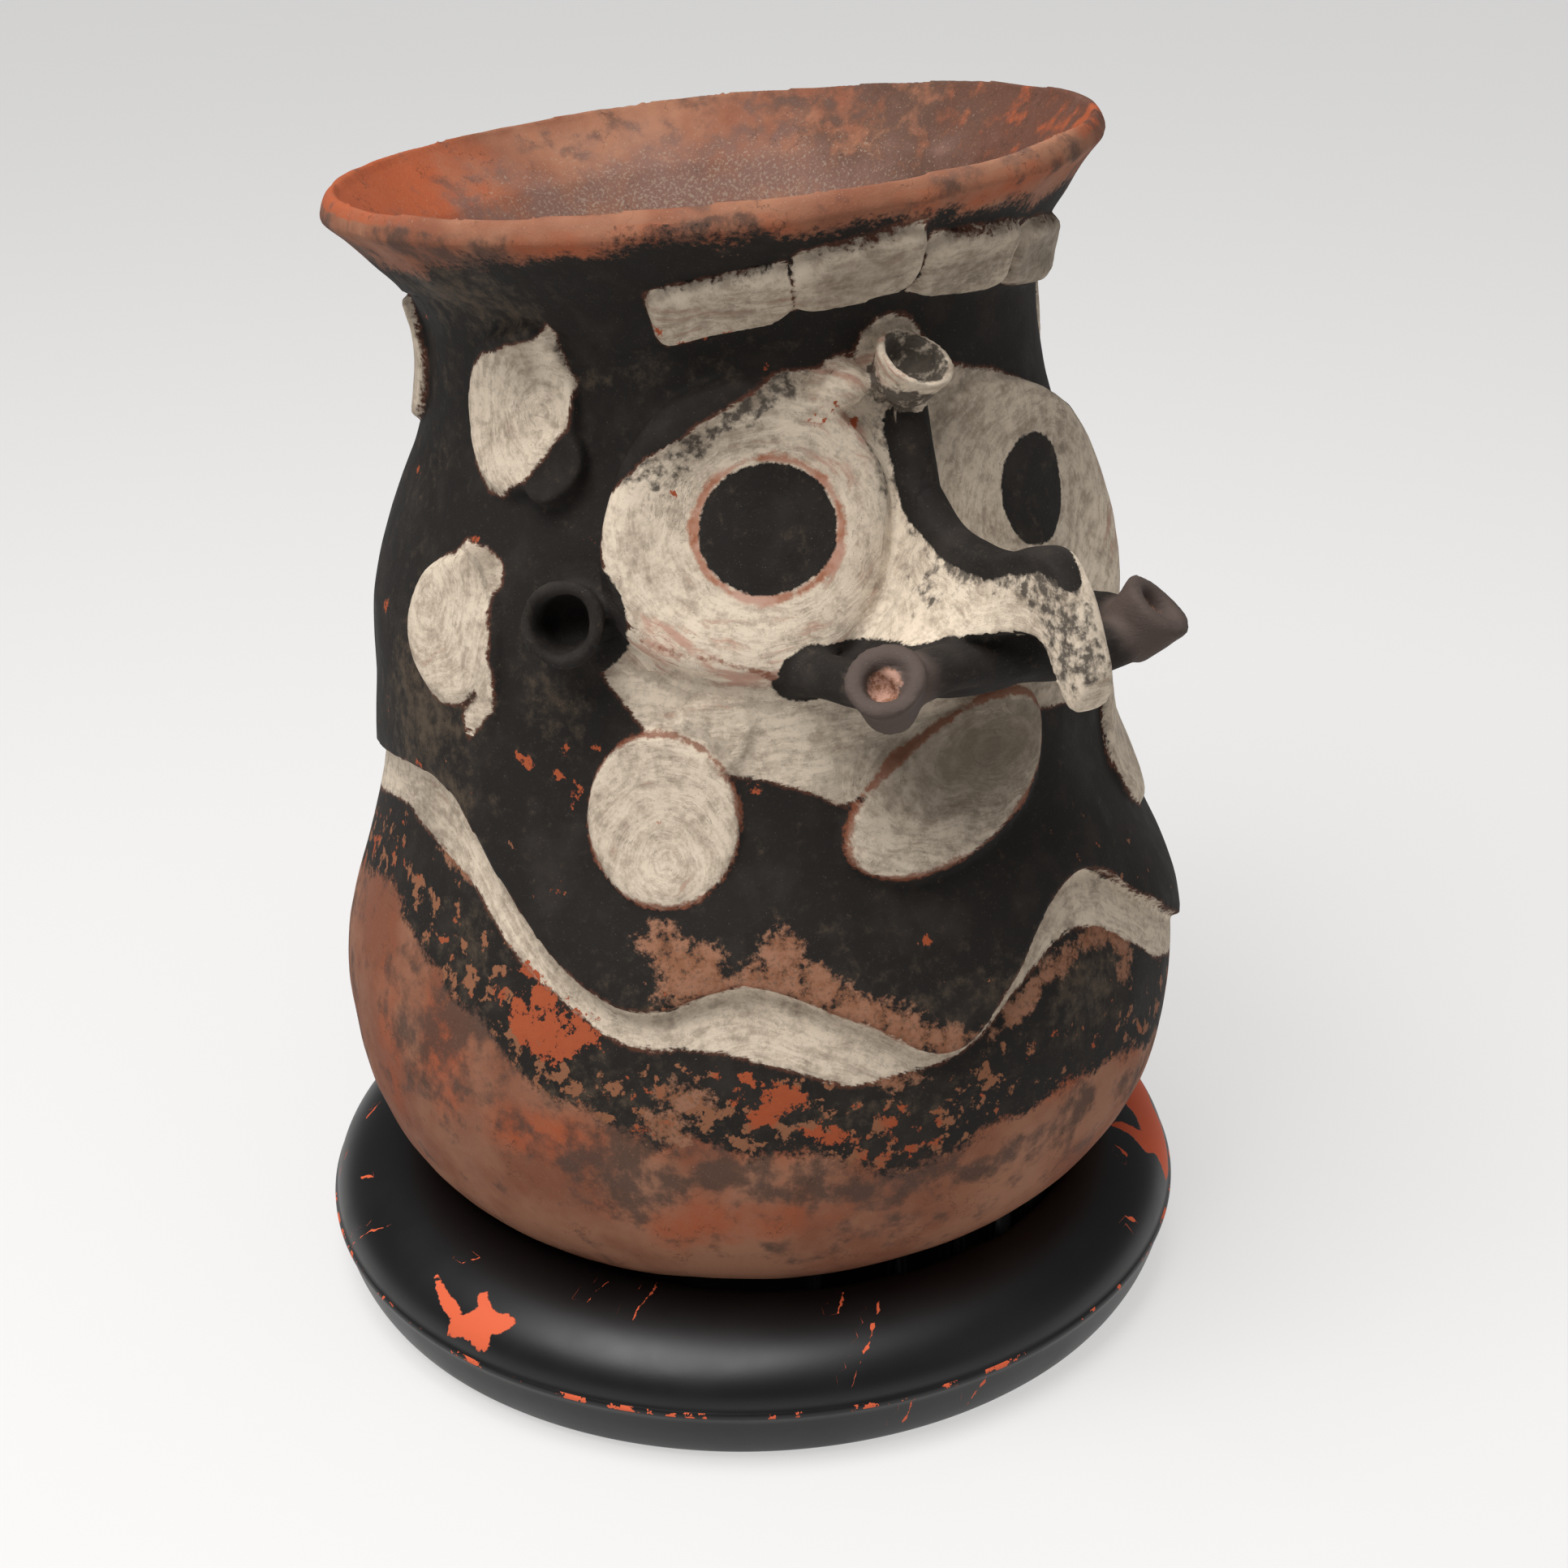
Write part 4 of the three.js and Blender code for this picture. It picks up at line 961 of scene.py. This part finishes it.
def ringMesh():
    profile = ringProfile()
    bm = bmesh.new()
    verts = [bm.verts.new((r / 1000, 0, z / 1000)) for r, z in profile]
    edges = [bm.edges.new(pair) for pair in zip(verts, verts[1:] + verts[:1])]
    bmesh.ops.spin(bm, geom=verts + edges, cent=(0, 0, 0), axis=(0, 0, 1), dvec=(0, 0, 0),
                   angle=2 * math.pi, steps=288, use_merge=True, use_duplicate=False)
    bmesh.ops.remove_doubles(bm, verts=bm.verts, dist=1e-6)
    bmesh.ops.recalc_face_normals(bm, faces=bm.faces)
    bmesh.ops.translate(bm, verts=bm.verts, vec=(ringMiddle.x, ringMiddle.y, 0))
    mesh = bpy.data.meshes.new("paddedRing")
    bm.to_mesh(mesh)
    bm.free()
    return mesh


print("stage: ring")
ringSkin = ringMesh()
w = vertexPlaces(ringSkin)
# the padding gives way under the jar
for _ in range(ringForm["seatRounds"]):
    _, h, gap = placeOf(backInJar(w))
    slope, length = wallSlope(h)
    steep = np.maximum(np.abs(slope) / length, 0.5)
    w[:, 2] -= 0.001 * np.clip(ringForm["seat"] - gap, 0, ringForm["seatStep"]) / steep
w[:, 2] = np.maximum(w[:, 2], 0)
setPlaces(ringSkin, w)
ringPiece = bpy.data.objects.new("paddedRing", ringSkin)
bpy.context.scene.collection.objects.link(ringPiece)
around = np.degrees(np.arctan2(w[:, 0] - ringMiddle.x, -(w[:, 1] - ringMiddle.y)))
fromAxis = 1000 * np.hypot(w[:, 0] - ringMiddle.x, w[:, 1] - ringMiddle.y)
level = 1000 * w[:, 2]
# length over the ring's section, 0 at the seam and growing inwards over the top
over = np.where(level >= ringForm["seam"], ringForm["radius"] - fromAxis + 0.6 * (level - ringForm["seam"]),
                level - ringForm["seam"])

# cracks in the paint: angle, start and end over the section, slant in degrees over its length
cracks = [
    (-96.6, 2, 29, 2.6), (-124.6, 27, 35, -1.6), (-116, 7, 16, -1.8), (-77.7, 40, 50, 0.8),
    (-56, 50, 67, 0.6), (-48.4, 46, 72, 0.5), (-18.4, 49, 64, 0.9), (-16.3, 12, 50, 3.1), (-3, -20, -4, 1),
    (-12.5, -18, -4, 0.6), (31.6, 10, 23, -0.8), (44, 34, 44, 1), (-107, 24, 33, 1), (60, 10, 30, 1),
    (96, 12, 30, -1), (140, 8, 28, 2), (175, 12, 34, -2), (-150, 10, 30, 2), (-135, 16, 36, 1),
]
crackSide = np.full(len(w), 30.0)
crackNear = np.zeros(len(w))
for a0, start, end, slant in cracks:
    t = (over - start) / (end - start)
    sideMm = np.radians(turnBetween(around, a0 + slant * (t - 0.5) * 2)) * fromAxis
    mask = smoothStep(t, -0.12, 0.15) * (1 - smoothStep(t, 0.8, 1.1)) * (1 - smoothStep(np.abs(sideMm), 5, 9))
    take = mask > crackNear
    crackSide = np.where(take, sideMm, crackSide)
    crackNear = np.maximum(crackNear, mask)
# places where the black has peeled off: angle and place over the section
peeled = [
    [(-80, 27), (-78, 21), (-75.2, 14), (-73.8, 14.4), (-73.5, 5), (-70.5, 9.2), (-68, 4.7), (-67, 9.2),
     (-67.8, 14), (-66, 17.7), (-64.8, 25.2), (-66, 27.5), (-67.8, 24.4), (-69.2, 26.3), (-71.5, 34.3),
     (-72, 30.2), (-70.5, 24.4), (-71.5, 18.3), (-72.2, 16), (-74.2, 20.1), (-77, 22.9)],
    [(66, 12), (61.8, 14.7), (57, 8.4), (50.2, 2.1), (46, 6), (48.5, 17), (47, 24.4), (49, 33.4), (50, 47.6),
     (51.5, 42.2), (51, 27.1), (55.5, 31), (57.2, 36.7), (66, 34), (76, 22), (74, 12)],
]
peel = np.full(len(w), -60.0)
for corners in peeled:
    peel = np.maximum(peel, manySided(np.radians(around) * ringForm["peelRadius"], over, corners,
                                      ringForm["peelRadius"]))
addValue(ringSkin, "crackSide", crackSide)
addValue(ringSkin, "crackNear", crackNear)
addValue(ringSkin, "peel", peel)
addValue(ringSkin, "overSeam", over)
ringSkin.shade_smooth()
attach(ringPiece, "root")
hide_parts("support_ring")


# materials

def colour(text):
    parts = [int(text[i:i + 2], 16) / 255 for i in (1, 3, 5)]
    return tuple(v / 12.92 if v <= 0.04045 else ((v + 0.055) / 1.055) ** 2.4 for v in parts) + (1.0,)


def addNode(tree, kind, inputs=None, **settings):
    made = tree.nodes.new(kind)
    for key, value in settings.items():
        setattr(made, key, value)
    for key, value in (inputs or {}).items():
        if isinstance(value, bpy.types.NodeSocket):
            tree.links.new(value, made.inputs[key])
        else:
            made.inputs[key].default_value = value
    return made


def sums(tree, operation, a, b=0.0, c=0.0, clamp=False):
    return addNode(tree, "ShaderNodeMath", {0: a, 1: b, 2: c}, operation=operation,
                   use_clamp=clamp).outputs[0]


def mixed(tree, share, a, b):
    # inputs 6 and 7 and output 2 of this node are its colours
    return addNode(tree, "ShaderNodeMix", {"Factor": share, 6: a, 7: b}, data_type="RGBA").outputs[2]


def ranged(tree, value, low, high, toLow=0.0, toHigh=1.0):
    inputs = {"Value": value, "From Min": low, "From Max": high, "To Min": toLow, "To Max": toHigh}
    return addNode(tree, "ShaderNodeMapRange", inputs, interpolation_type="SMOOTHSTEP").outputs[0]


def cloud(tree, vector, scale, detail=3.0, rough=0.55):
    inputs = {"Vector": vector, "Scale": scale, "Detail": detail, "Roughness": rough}
    return addNode(tree, "ShaderNodeTexNoise", inputs).outputs[0]


def newGroup(name, inputs, outputs):
    tree = bpy.data.node_groups.new(name, "ShaderNodeTree")
    for label, kind, value in inputs:
        socket = tree.interface.new_socket(label, in_out="INPUT", socket_type=kind)
        if value is not None:
            socket.default_value = value
    for label, kind in outputs:
        tree.interface.new_socket(label, in_out="OUTPUT", socket_type=kind)
    return tree, tree.nodes.new("NodeGroupInput"), tree.nodes.new("NodeGroupOutput")


def raggedEdgeGroup():
    # turns a distance in millimetres into a mask whose edge wanders and frays
    tree, given, result = newGroup("raggedEdge", [
        ("Coordinates", "NodeSocketVector", None), ("Distance", "NodeSocketFloat", 0.0),
        ("Wander", "NodeSocketFloat", 3.0), ("Fray", "NodeSocketFloat", 1.5),
        ("Softness", "NodeSocketFloat", 0.4)], [("Mask", "NodeSocketFloat")])
    slow = cloud(tree, given.outputs["Coordinates"], 55.0, 3.0)
    fast = cloud(tree, given.outputs["Coordinates"], 420.0, 4.0, 0.65)
    wander = sums(tree, "MULTIPLY", sums(tree, "SUBTRACT", slow, 0.5),
                  sums(tree, "MULTIPLY", given.outputs["Wander"], 2.0))
    fray = sums(tree, "MULTIPLY", sums(tree, "SUBTRACT", fast, 0.5),
                sums(tree, "MULTIPLY", given.outputs["Fray"], 2.0))
    moved = sums(tree, "ADD", sums(tree, "ADD", given.outputs["Distance"], wander), fray)
    share = sums(tree, "ADD",
                 sums(tree, "DIVIDE", moved, sums(tree, "MULTIPLY", given.outputs["Softness"], 2.0)),
                 0.5, clamp=True)
    tree.links.new(share, result.inputs["Mask"])
    return tree


def flakesGroup():
    # where bits of paint are gone; amount 0 none, 1 nearly all
    tree, given, result = newGroup("flakes", [
        ("Coordinates", "NodeSocketVector", None), ("Amount", "NodeSocketFloat", 0.3),
        ("Scale", "NodeSocketFloat", 90.0), ("Softness", "NodeSocketFloat", 0.02)],
        [("Mask", "NodeSocketFloat")])
    grain = cloud(tree, given.outputs["Coordinates"], given.outputs["Scale"], 5.0, 0.62)
    spread = sums(tree, "MULTIPLY_ADD", sums(tree, "SUBTRACT", grain, 0.5), 1.9, 0.5)
    over = sums(tree, "SUBTRACT", given.outputs["Amount"], sums(tree, "SUBTRACT", 1.0, spread))
    share = sums(tree, "ADD", sums(tree, "DIVIDE", over, given.outputs["Softness"]), 0.5, clamp=True)
    tree.links.new(share, result.inputs["Mask"])
    return tree


raggedEdge, flakes = raggedEdgeGroup(), flakesGroup()


def ragged(tree, place, distance, wander, fray, softness):
    inputs = {"Coordinates": place, "Distance": distance, "Wander": wander, "Fray": fray,
              "Softness": softness}
    return addNode(tree, "ShaderNodeGroup", inputs, node_tree=raggedEdge).outputs[0]


def newMaterial(name):
    material = bpy.data.materials.new(name)
    material.use_nodes = True
    material.node_tree.nodes.clear()
    return material, material.node_tree


def attribute(tree, name, output="Fac"):
    return addNode(tree, "ShaderNodeAttribute", attribute_name=name).outputs[output]


clayLook = {
    "clay": "#7d4c37", "paleClay": "#976a52", "ember": "#a04f2e", "smudge": "#4c3a31", "ashClay": "#78594e",
    "orange": "#9c4b2c", "worn": "#87593f", "soot": "#1d1916", "sootGrey": "#2f2a26", "dust": "#55483a",
    # the darkest grey for the lime white stands for dirt and for painted shade
    "lime": "#d5c5b0", "limeShade": "#9d8d7b", "limeDeep": "#6e6459", "limeDirtAndShade": "#6f6253",
    "limePink": "#b78d7a", "outline": "#7d4832", "rim": "#94502f", "ash": "#574a44", "speck": "#352c26",
}


def paintedClay():
    look = {key: colour(value) for key, value in clayLook.items()}
    material, tree = newMaterial("paintedClay")
    place = addNode(tree, "ShaderNodeTexCoord").outputs["Object"]

    def times(a, b):
        return sums(tree, "MULTIPLY", a, b)

    def flaked(amount, scale, softness):
        inputs = {"Coordinates": place, "Amount": amount, "Scale": scale, "Softness": softness}
        return addNode(tree, "ShaderNodeGroup", inputs, node_tree=flakes).outputs[0]

    def tinted(under, value, low, high, most, name):
        # lays a colour over another where a value is high
        return mixed(tree, ranged(tree, value, low, high, 0, most), under, look[name])

    slow = cloud(tree, place, 14.0, 4.0, 0.6)
    patch = cloud(tree, place, 38.0, 4.0, 0.6)
    mottle = cloud(tree, place, 120.0, 6.0, 0.7)
    fine = cloud(tree, place, 520.0, 3.0, 0.6)
    sand = cloud(tree, place, 1500.0, 2.0, 0.5)
    bend = addNode(tree, "ShaderNodeTexNoise",
                   {"Vector": place, "Scale": 55.0, "Detail": 2.0}).outputs["Color"]
    bend = addNode(tree, "ShaderNodeVectorMath", {0: bend, 1: (-0.5, -0.5, -0.5)}, operation="ADD").outputs[0]
    bent = {0: bend, 1: (9.0, 9.0, 9.0), 2: attribute(tree, "stroke", "Vector")}
    stroke = addNode(tree, "ShaderNodeVectorMath", bent, operation="MULTIPLY_ADD").outputs[0]
    narrow = addNode(tree, "ShaderNodeMapping", {"Vector": stroke, "Scale": (0.85, 0.11, 0.11)}).outputs[0]
    wide = addNode(tree, "ShaderNodeMapping", {"Vector": stroke, "Scale": (0.24, 0.05, 0.05)}).outputs[0]
    hair, wipe = cloud(tree, narrow, 1.0, 3.0, 0.6), cloud(tree, wide, 1.0, 4.0, 0.6)

    # bare clay: redder and greyer clouds, smudges, grit and hair cracks
    inside, ember, ash = attribute(tree, "inside"), attribute(tree, "ember"), attribute(tree, "ash")
    clay = tinted(look["clay"], slow, 0.35, 0.65, 1.0, "paleClay")
    clay = tinted(clay, sums(tree, "MULTIPLY_ADD", ember, 0.75, times(patch, 0.6)), 0.42, 0.85, 0.9, "ember")
    blotch = cloud(tree, place, 60.0, 5.0, 0.65)
    greyed = sums(tree, "MULTIPLY_ADD", attribute(tree, "smudge"), 0.3, blotch)
    clay = tinted(clay, greyed, 0.54, 0.76, 0.85, "smudge")
    scoured = ranged(tree, sums(tree, "MULTIPLY_ADD", ash, 0.35, cloud(tree, place, 30.0, 6.0, 0.7)),
                     0.52, 0.86)
    clay = mixed(tree, times(inside, scoured), clay, look["ashClay"])
    paleGrit = sums(tree, "MULTIPLY_ADD", ash, 0.16, cloud(tree, place, 700.0, 3.0, 0.6))
    paleGrit = ranged(tree, paleGrit, 0.64, 0.78, 0, 0.6)
    clay = mixed(tree, times(inside, paleGrit), clay, look["limeShade"])
    clay = tinted(clay, fine, 0.6, 0.78, 0.4, "paleClay")
    clay = tinted(clay, sand, 0.64, 0.76, 0.4, "limePink")
    veins = sums(tree, "ABSOLUTE", sums(tree, "SUBTRACT", cloud(tree, place, 46.0, 5.0, 0.6), 0.5))
    veins = times(sums(tree, "LESS_THAN", veins, 0.0035), ranged(tree, patch, 0.52, 0.6))
    clay = mixed(tree, times(veins, 0.6), clay, look["speck"])

    # soot-black ground, dusty in places
    soot = tinted(look["soot"], patch, 0.45, 0.75, 1.0, "sootGrey")
    dusty = sums(tree, "MULTIPLY_ADD", attribute(tree, "dusty"), 0.32, mottle)
    soot = tinted(soot, dusty, 0.56, 0.9, 0.85, "dust")
    soot = tinted(soot, sand, 0.66, 0.8, 0.3, "limeShade")
    sootMask = ragged(tree, place, attribute(tree, "sootEdge"), 9.0, 8.0, 2.2)
    surface = mixed(tree, sootMask, clay, soot)

    # rubbed off to old brown clay, scattered wear, and fresh orange chips
    brown = tinted(look["worn"], mottle, 0.4, 0.6, 1.0, "paleClay")
    brown = tinted(brown, fine, 0.5, 0.7, 0.6, "dust")
    wornHere = sums(tree, "MULTIPLY_ADD", sums(tree, "SUBTRACT", mottle, 0.5), 26.0,
                    attribute(tree, "wornEdge"))
    wornMask = ragged(tree, place, wornHere, 5.0, 6.0, 1.8)
    surface = mixed(tree, times(wornMask, 0.9), surface, brown)
    scattered = flaked(attribute(tree, "scatter"), 115.0, 0.06)
    wornOrFresh = tinted(look["worn"], patch, 0.54, 0.66, 1.0, "orange")
    surface = mixed(tree, times(scattered, sootMask), surface, wornOrFresh)
    freshHere = sums(tree, "MULTIPLY_ADD", sums(tree, "SUBTRACT", mottle, 0.5), 15.0,
                     attribute(tree, "freshEdge"))
    freshMask = ragged(tree, place, freshHere, 2.2, 3.4, 0.3)
    fresh = tinted(look["orange"], mottle, 0.45, 0.62, 0.5, "ember")
    surface = mixed(tree, freshMask, surface, fresh)

    # lime white, brushed and rubbed
    whiteEdge = attribute(tree, "whiteEdge")
    rubbed = sums(tree, "MULTIPLY_ADD", sums(tree, "SUBTRACT", hair, 0.5), 4.0, whiteEdge)
    whiteMask = ragged(tree, place, rubbed, 1.6, 1.8, 0.5)
    grit = cloud(tree, place, 330.0, 5.0, 0.7)
    brushed = sums(tree, "MULTIPLY_ADD", hair, 0.14, times(wipe, 0.28))
    tone = sums(tree, "ADD", brushed, sums(tree, "MULTIPLY_ADD", mottle, 0.36, times(grit, 0.24)))
    lime = tinted(look["lime"], tone, 0.445, 0.6, 0.8, "limeShade")
    lime = tinted(lime, tone, 0.565, 0.69, 0.75, "limeDeep")
    scratch = ranged(tree, sums(tree, "ABSOLUTE", sums(tree, "SUBTRACT", wipe, 0.5)), 0.0, 0.012, 1, 0)
    lime = mixed(tree, times(times(scratch, ranged(tree, patch, 0.5, 0.62)), 0.5), lime, look["speck"])
    blush = sums(tree, "MULTIPLY_ADD", attribute(tree, "pink"), 0.36, wipe)
    lime = tinted(lime, blush, 0.64, 0.84, 0.8, "limePink")
    # greyer white: dirt, and painted shade on the disc under the beak, the right plate and the brow pads
    grimeAndShade = sums(tree, "MULTIPLY_ADD", attribute(tree, "dirtAndShade"), 0.9,
                 times(sums(tree, "ADD", wipe, mottle), 0.35))
    lime = tinted(lime, grimeAndShade, 0.35, 1.25, 0.95, "limeDirtAndShade")
    lime = tinted(lime, sand, 0.65, 0.74, 0.55, "speck")
    aroundWhite = ragged(tree, place, sums(tree, "SUBTRACT", 1.0, sums(tree, "ABSOLUTE", whiteEdge)),
                         3.0, 2.0, 0.8)
    surface = mixed(tree, times(aroundWhite, 0.4), surface, look["outline"])
    surface = mixed(tree, whiteMask, surface, lime)
    seamMask = ragged(tree, place, sums(tree, "SUBTRACT", 0.8, attribute(tree, "seam")), 3.0, 2.4, 0.6)
    surface = mixed(tree, times(seamMask, 0.8), surface, look["outline"])
    surface = mixed(tree, times(freshMask, whiteMask), surface, look["orange"])
    # black rubbed over the white, and painted shade inside the forehead cup's bore
    rubbedBlackAndBoreShade = flaked(attribute(tree, "smearAndBoreShade"), 190.0, 0.3)
    surface = mixed(tree, times(times(rubbedBlackAndBoreShade, whiteMask), 0.85), surface, look["sootGrey"])

    # black of the eyes, the nose's ridge, the ornament and the ear tubes, and painted shade under the beak
    eye = attribute(tree, "rimmedEye")
    rimHere = sums(tree, "SUBTRACT", 1.6, sums(tree, "ABSOLUTE", sums(tree, "ADD", eye, 1.8)))
    rim = ragged(tree, place, rimHere, 5.0, 2.4, 1.0)
    rimColour = tinted(look["limePink"], patch, 0.4, 0.6, 1.0, "rim")
    surface = mixed(tree, times(rim, 0.85), surface, rimColour)
    blackMask = ragged(tree, place, attribute(tree, "blackEdge"), 1.4, 1.6, 0.4)
    inkAndShade = tinted(look["soot"], patch, 0.4, 0.7, 1.0, "sootGrey")
    inkAndShade = tinted(inkAndShade, mottle, 0.55, 0.75, 0.5, "dust")
    inkAndShade = mixed(tree, times(times(sums(tree, "SUBTRACT", 1.0, inside), ash), 0.85), inkAndShade, look["ash"])
    inkAndShade = tinted(inkAndShade, sand, 0.66, 0.78, 0.3, "limeShade")
    surface = mixed(tree, blackMask, surface, inkAndShade)
    hole = ragged(tree, place, attribute(tree, "holeEdge"), 2.0, 3.0, 0.8)
    surface = mixed(tree, times(hole, 0.8), surface, tinted(look["worn"], grit, 0.4, 0.56, 1.0, "limePink"))

    grain = sums(tree, "MULTIPLY_ADD", fine, 0.5, times(sand, 0.25))
    relief = sums(tree, "ADD", grain, times(times(sums(tree, "ADD", hair, wipe), whiteMask), 0.6))
    relief = sums(tree, "MULTIPLY_ADD", mottle, 0.5, relief)
    relief = sums(tree, "SUBTRACT", relief, times(veins, 0.5))
    bump = addNode(tree, "ShaderNodeBump", {"Height": relief, "Strength": 0.6, "Distance": 0.0007})
    shader = addNode(tree, "ShaderNodeBsdfPrincipled", {
        "Base Color": surface, "Roughness": ranged(tree, patch, 0.3, 0.7, 0.7, 0.9),
        "Normal": bump.outputs[0], "Specular IOR Level": 0.22})
    addNode(tree, "ShaderNodeOutputMaterial", {"Surface": shader.outputs[0]})
    return material


ringLook = {"paint": "#09090a", "under": "#dc6038", "roughness": 0.4}


def ringPaint():
    material, tree = newMaterial("ringPaint")
    place = addNode(tree, "ShaderNodeTexCoord").outputs["Object"]
    crackWidth = cloud(tree, place, 150.0, 3.0)
    near = attribute(tree, "crackNear")
    wander = sums(tree, "MULTIPLY", sums(tree, "SUBTRACT", cloud(tree, place, 90.0, 4.0), 0.5), 7.0)
    side = sums(tree, "ABSOLUTE", sums(tree, "ADD", attribute(tree, "crackSide"), wander))
    wide = sums(tree, "MULTIPLY", ranged(tree, crackWidth, 0.42, 0.7, 0, 1.6), near)
    crack = sums(tree, "GREATER_THAN", wide, side)
    peelMask = ragged(tree, place, sums(tree, "ADD", attribute(tree, "peel"), 0.9), 1.5, 1.6, 0.2)
    seamOver = sums(tree, "ABSOLUTE", sums(tree, "ADD", attribute(tree, "overSeam"), 1.0))
    seamWear = sums(tree, "MULTIPLY", sums(tree, "LESS_THAN", seamOver, 1.6),
                    sums(tree, "GREATER_THAN", cloud(tree, place, 60.0, 5.0, 0.7), 0.56))
    bare = sums(tree, "MAXIMUM", sums(tree, "MAXIMUM", crack, peelMask), seamWear)
    fine = cloud(tree, place, 800.0, 3.0)
    paint = mixed(tree, bare, colour(ringLook["paint"]), colour(ringLook["under"]))
    handled = ranged(tree, cloud(tree, place, 25.0, 4.0), 0.4, 0.7, 0, 0.06)
    rough = sums(tree, "ADD", sums(tree, "MULTIPLY_ADD", bare, 0.3, ringLook["roughness"]), handled)
    height = sums(tree, "MULTIPLY_ADD", bare, -1.0, sums(tree, "MULTIPLY", fine, 0.12))
    bump = addNode(tree, "ShaderNodeBump", {"Height": height, "Strength": 0.5, "Distance": 0.0004})
    shader = addNode(tree, "ShaderNodeBsdfPrincipled", {
        "Base Color": paint, "Roughness": rough, "Normal": bump.outputs[0], "Specular IOR Level": 0.45})
    addNode(tree, "ShaderNodeOutputMaterial", {"Surface": shader.outputs[0]})
    return material


print("stage: materials")
skin.materials.clear()
skin.materials.append(paintedClay())
ringSkin.materials.append(ringPaint())


# floor, light and camera

studio = {"floor": "#959493", "glow": "#e9e8e7", "floorGlow": 0.69, "worldColour": "#e6e7ea", "world": 0.2}
bm = bmesh.new()
bmesh.ops.create_grid(bm, x_segments=2, y_segments=2, size=9)
floorMesh = bpy.data.meshes.new("floor")
bm.to_mesh(floorMesh)
bm.free()
floor = bpy.data.objects.new("floor", floorMesh)
bpy.context.scene.collection.objects.link(floor)
floorMaterial, tree = newMaterial("paleFloor")
shader = addNode(tree, "ShaderNodeBsdfPrincipled", {
    "Base Color": colour(studio["floor"]), "Roughness": 0.75, "Emission Color": colour(studio["glow"]),
    "Emission Strength": studio["floorGlow"]})
addNode(tree, "ShaderNodeOutputMaterial", {"Surface": shader.outputs[0]})
floorMesh.materials.append(floorMaterial)

world = bpy.data.worlds.new("studio")
bpy.context.scene.world = world
world.use_nodes = True
world.node_tree.nodes["Background"].inputs[0].default_value = colour(studio["worldColour"])
world.node_tree.nodes["Background"].inputs[1].default_value = studio["world"]


# azimuth, elevation, distance, size and power, all aimed at the middle of the jar
lights = {"keyLight": (-78, 64, 2.3, 1.5, 58), "topLight": (-10, 86, 2.2, 1.8, 20),
          "fillLight": (30, 22, 2.6, 1.6, 2.5)}
aim = Vector((0, 0, 0.25))
for name, (azimuth, elevation, distance, size, power) in lights.items():
    a, e = math.radians(azimuth), math.radians(elevation)
    light = bpy.data.objects.new(name, bpy.data.lights.new(name, "AREA"))
    light.data.shape = "RECTANGLE"
    light.data.size = light.data.size_y = size
    light.data.energy = power
    direction = Vector((math.sin(a) * math.cos(e), -math.cos(a) * math.cos(e), math.sin(e)))
    light.location = aim + direction * distance
    light.rotation_mode = "QUATERNION"
    light.rotation_quaternion = (-direction).to_track_quat("-Z", "Y")
    bpy.context.scene.collection.objects.link(light)

view = {"azimuth": -32, "elevation": 25.85, "roll": -1.10, "distance": 1.39762, "right": 0.01968,
        "up": 0.18901, "above": 0.032, "focal": 3300, "frame": 1932}
a, e, r = (math.radians(view[key]) for key in ("azimuth", "elevation", "roll"))
back = Vector((math.sin(a) * math.cos(e), -math.cos(a) * math.cos(e), math.sin(e)))
right = Vector((math.cos(a), math.sin(a), 0))
up = back.cross(right)
lens = bpy.data.cameras.new("camera")
camera = bpy.data.objects.new("camera", lens)
bpy.context.scene.collection.objects.link(camera)
sideAxis = math.cos(r) * right + math.sin(r) * up
upAxis = -math.sin(r) * right + math.cos(r) * up
camera.location = (Vector((ringMiddle.x, ringMiddle.y, view["above"])) + back * view["distance"]
                   + right * view["right"] + up * view["up"])
camera.rotation_mode = "QUATERNION"
camera.rotation_quaternion = Matrix((sideAxis, upAxis, back)).transposed().to_quaternion()
lens.sensor_width = 36
lens.lens = 36 * view["focal"] / view["frame"]
lens.clip_end = 50
bpy.context.scene.camera = camera
bpy.context.scene.view_settings.view_transform = "Standard"

bpy.context.view_layer.update()
print("stage: done")
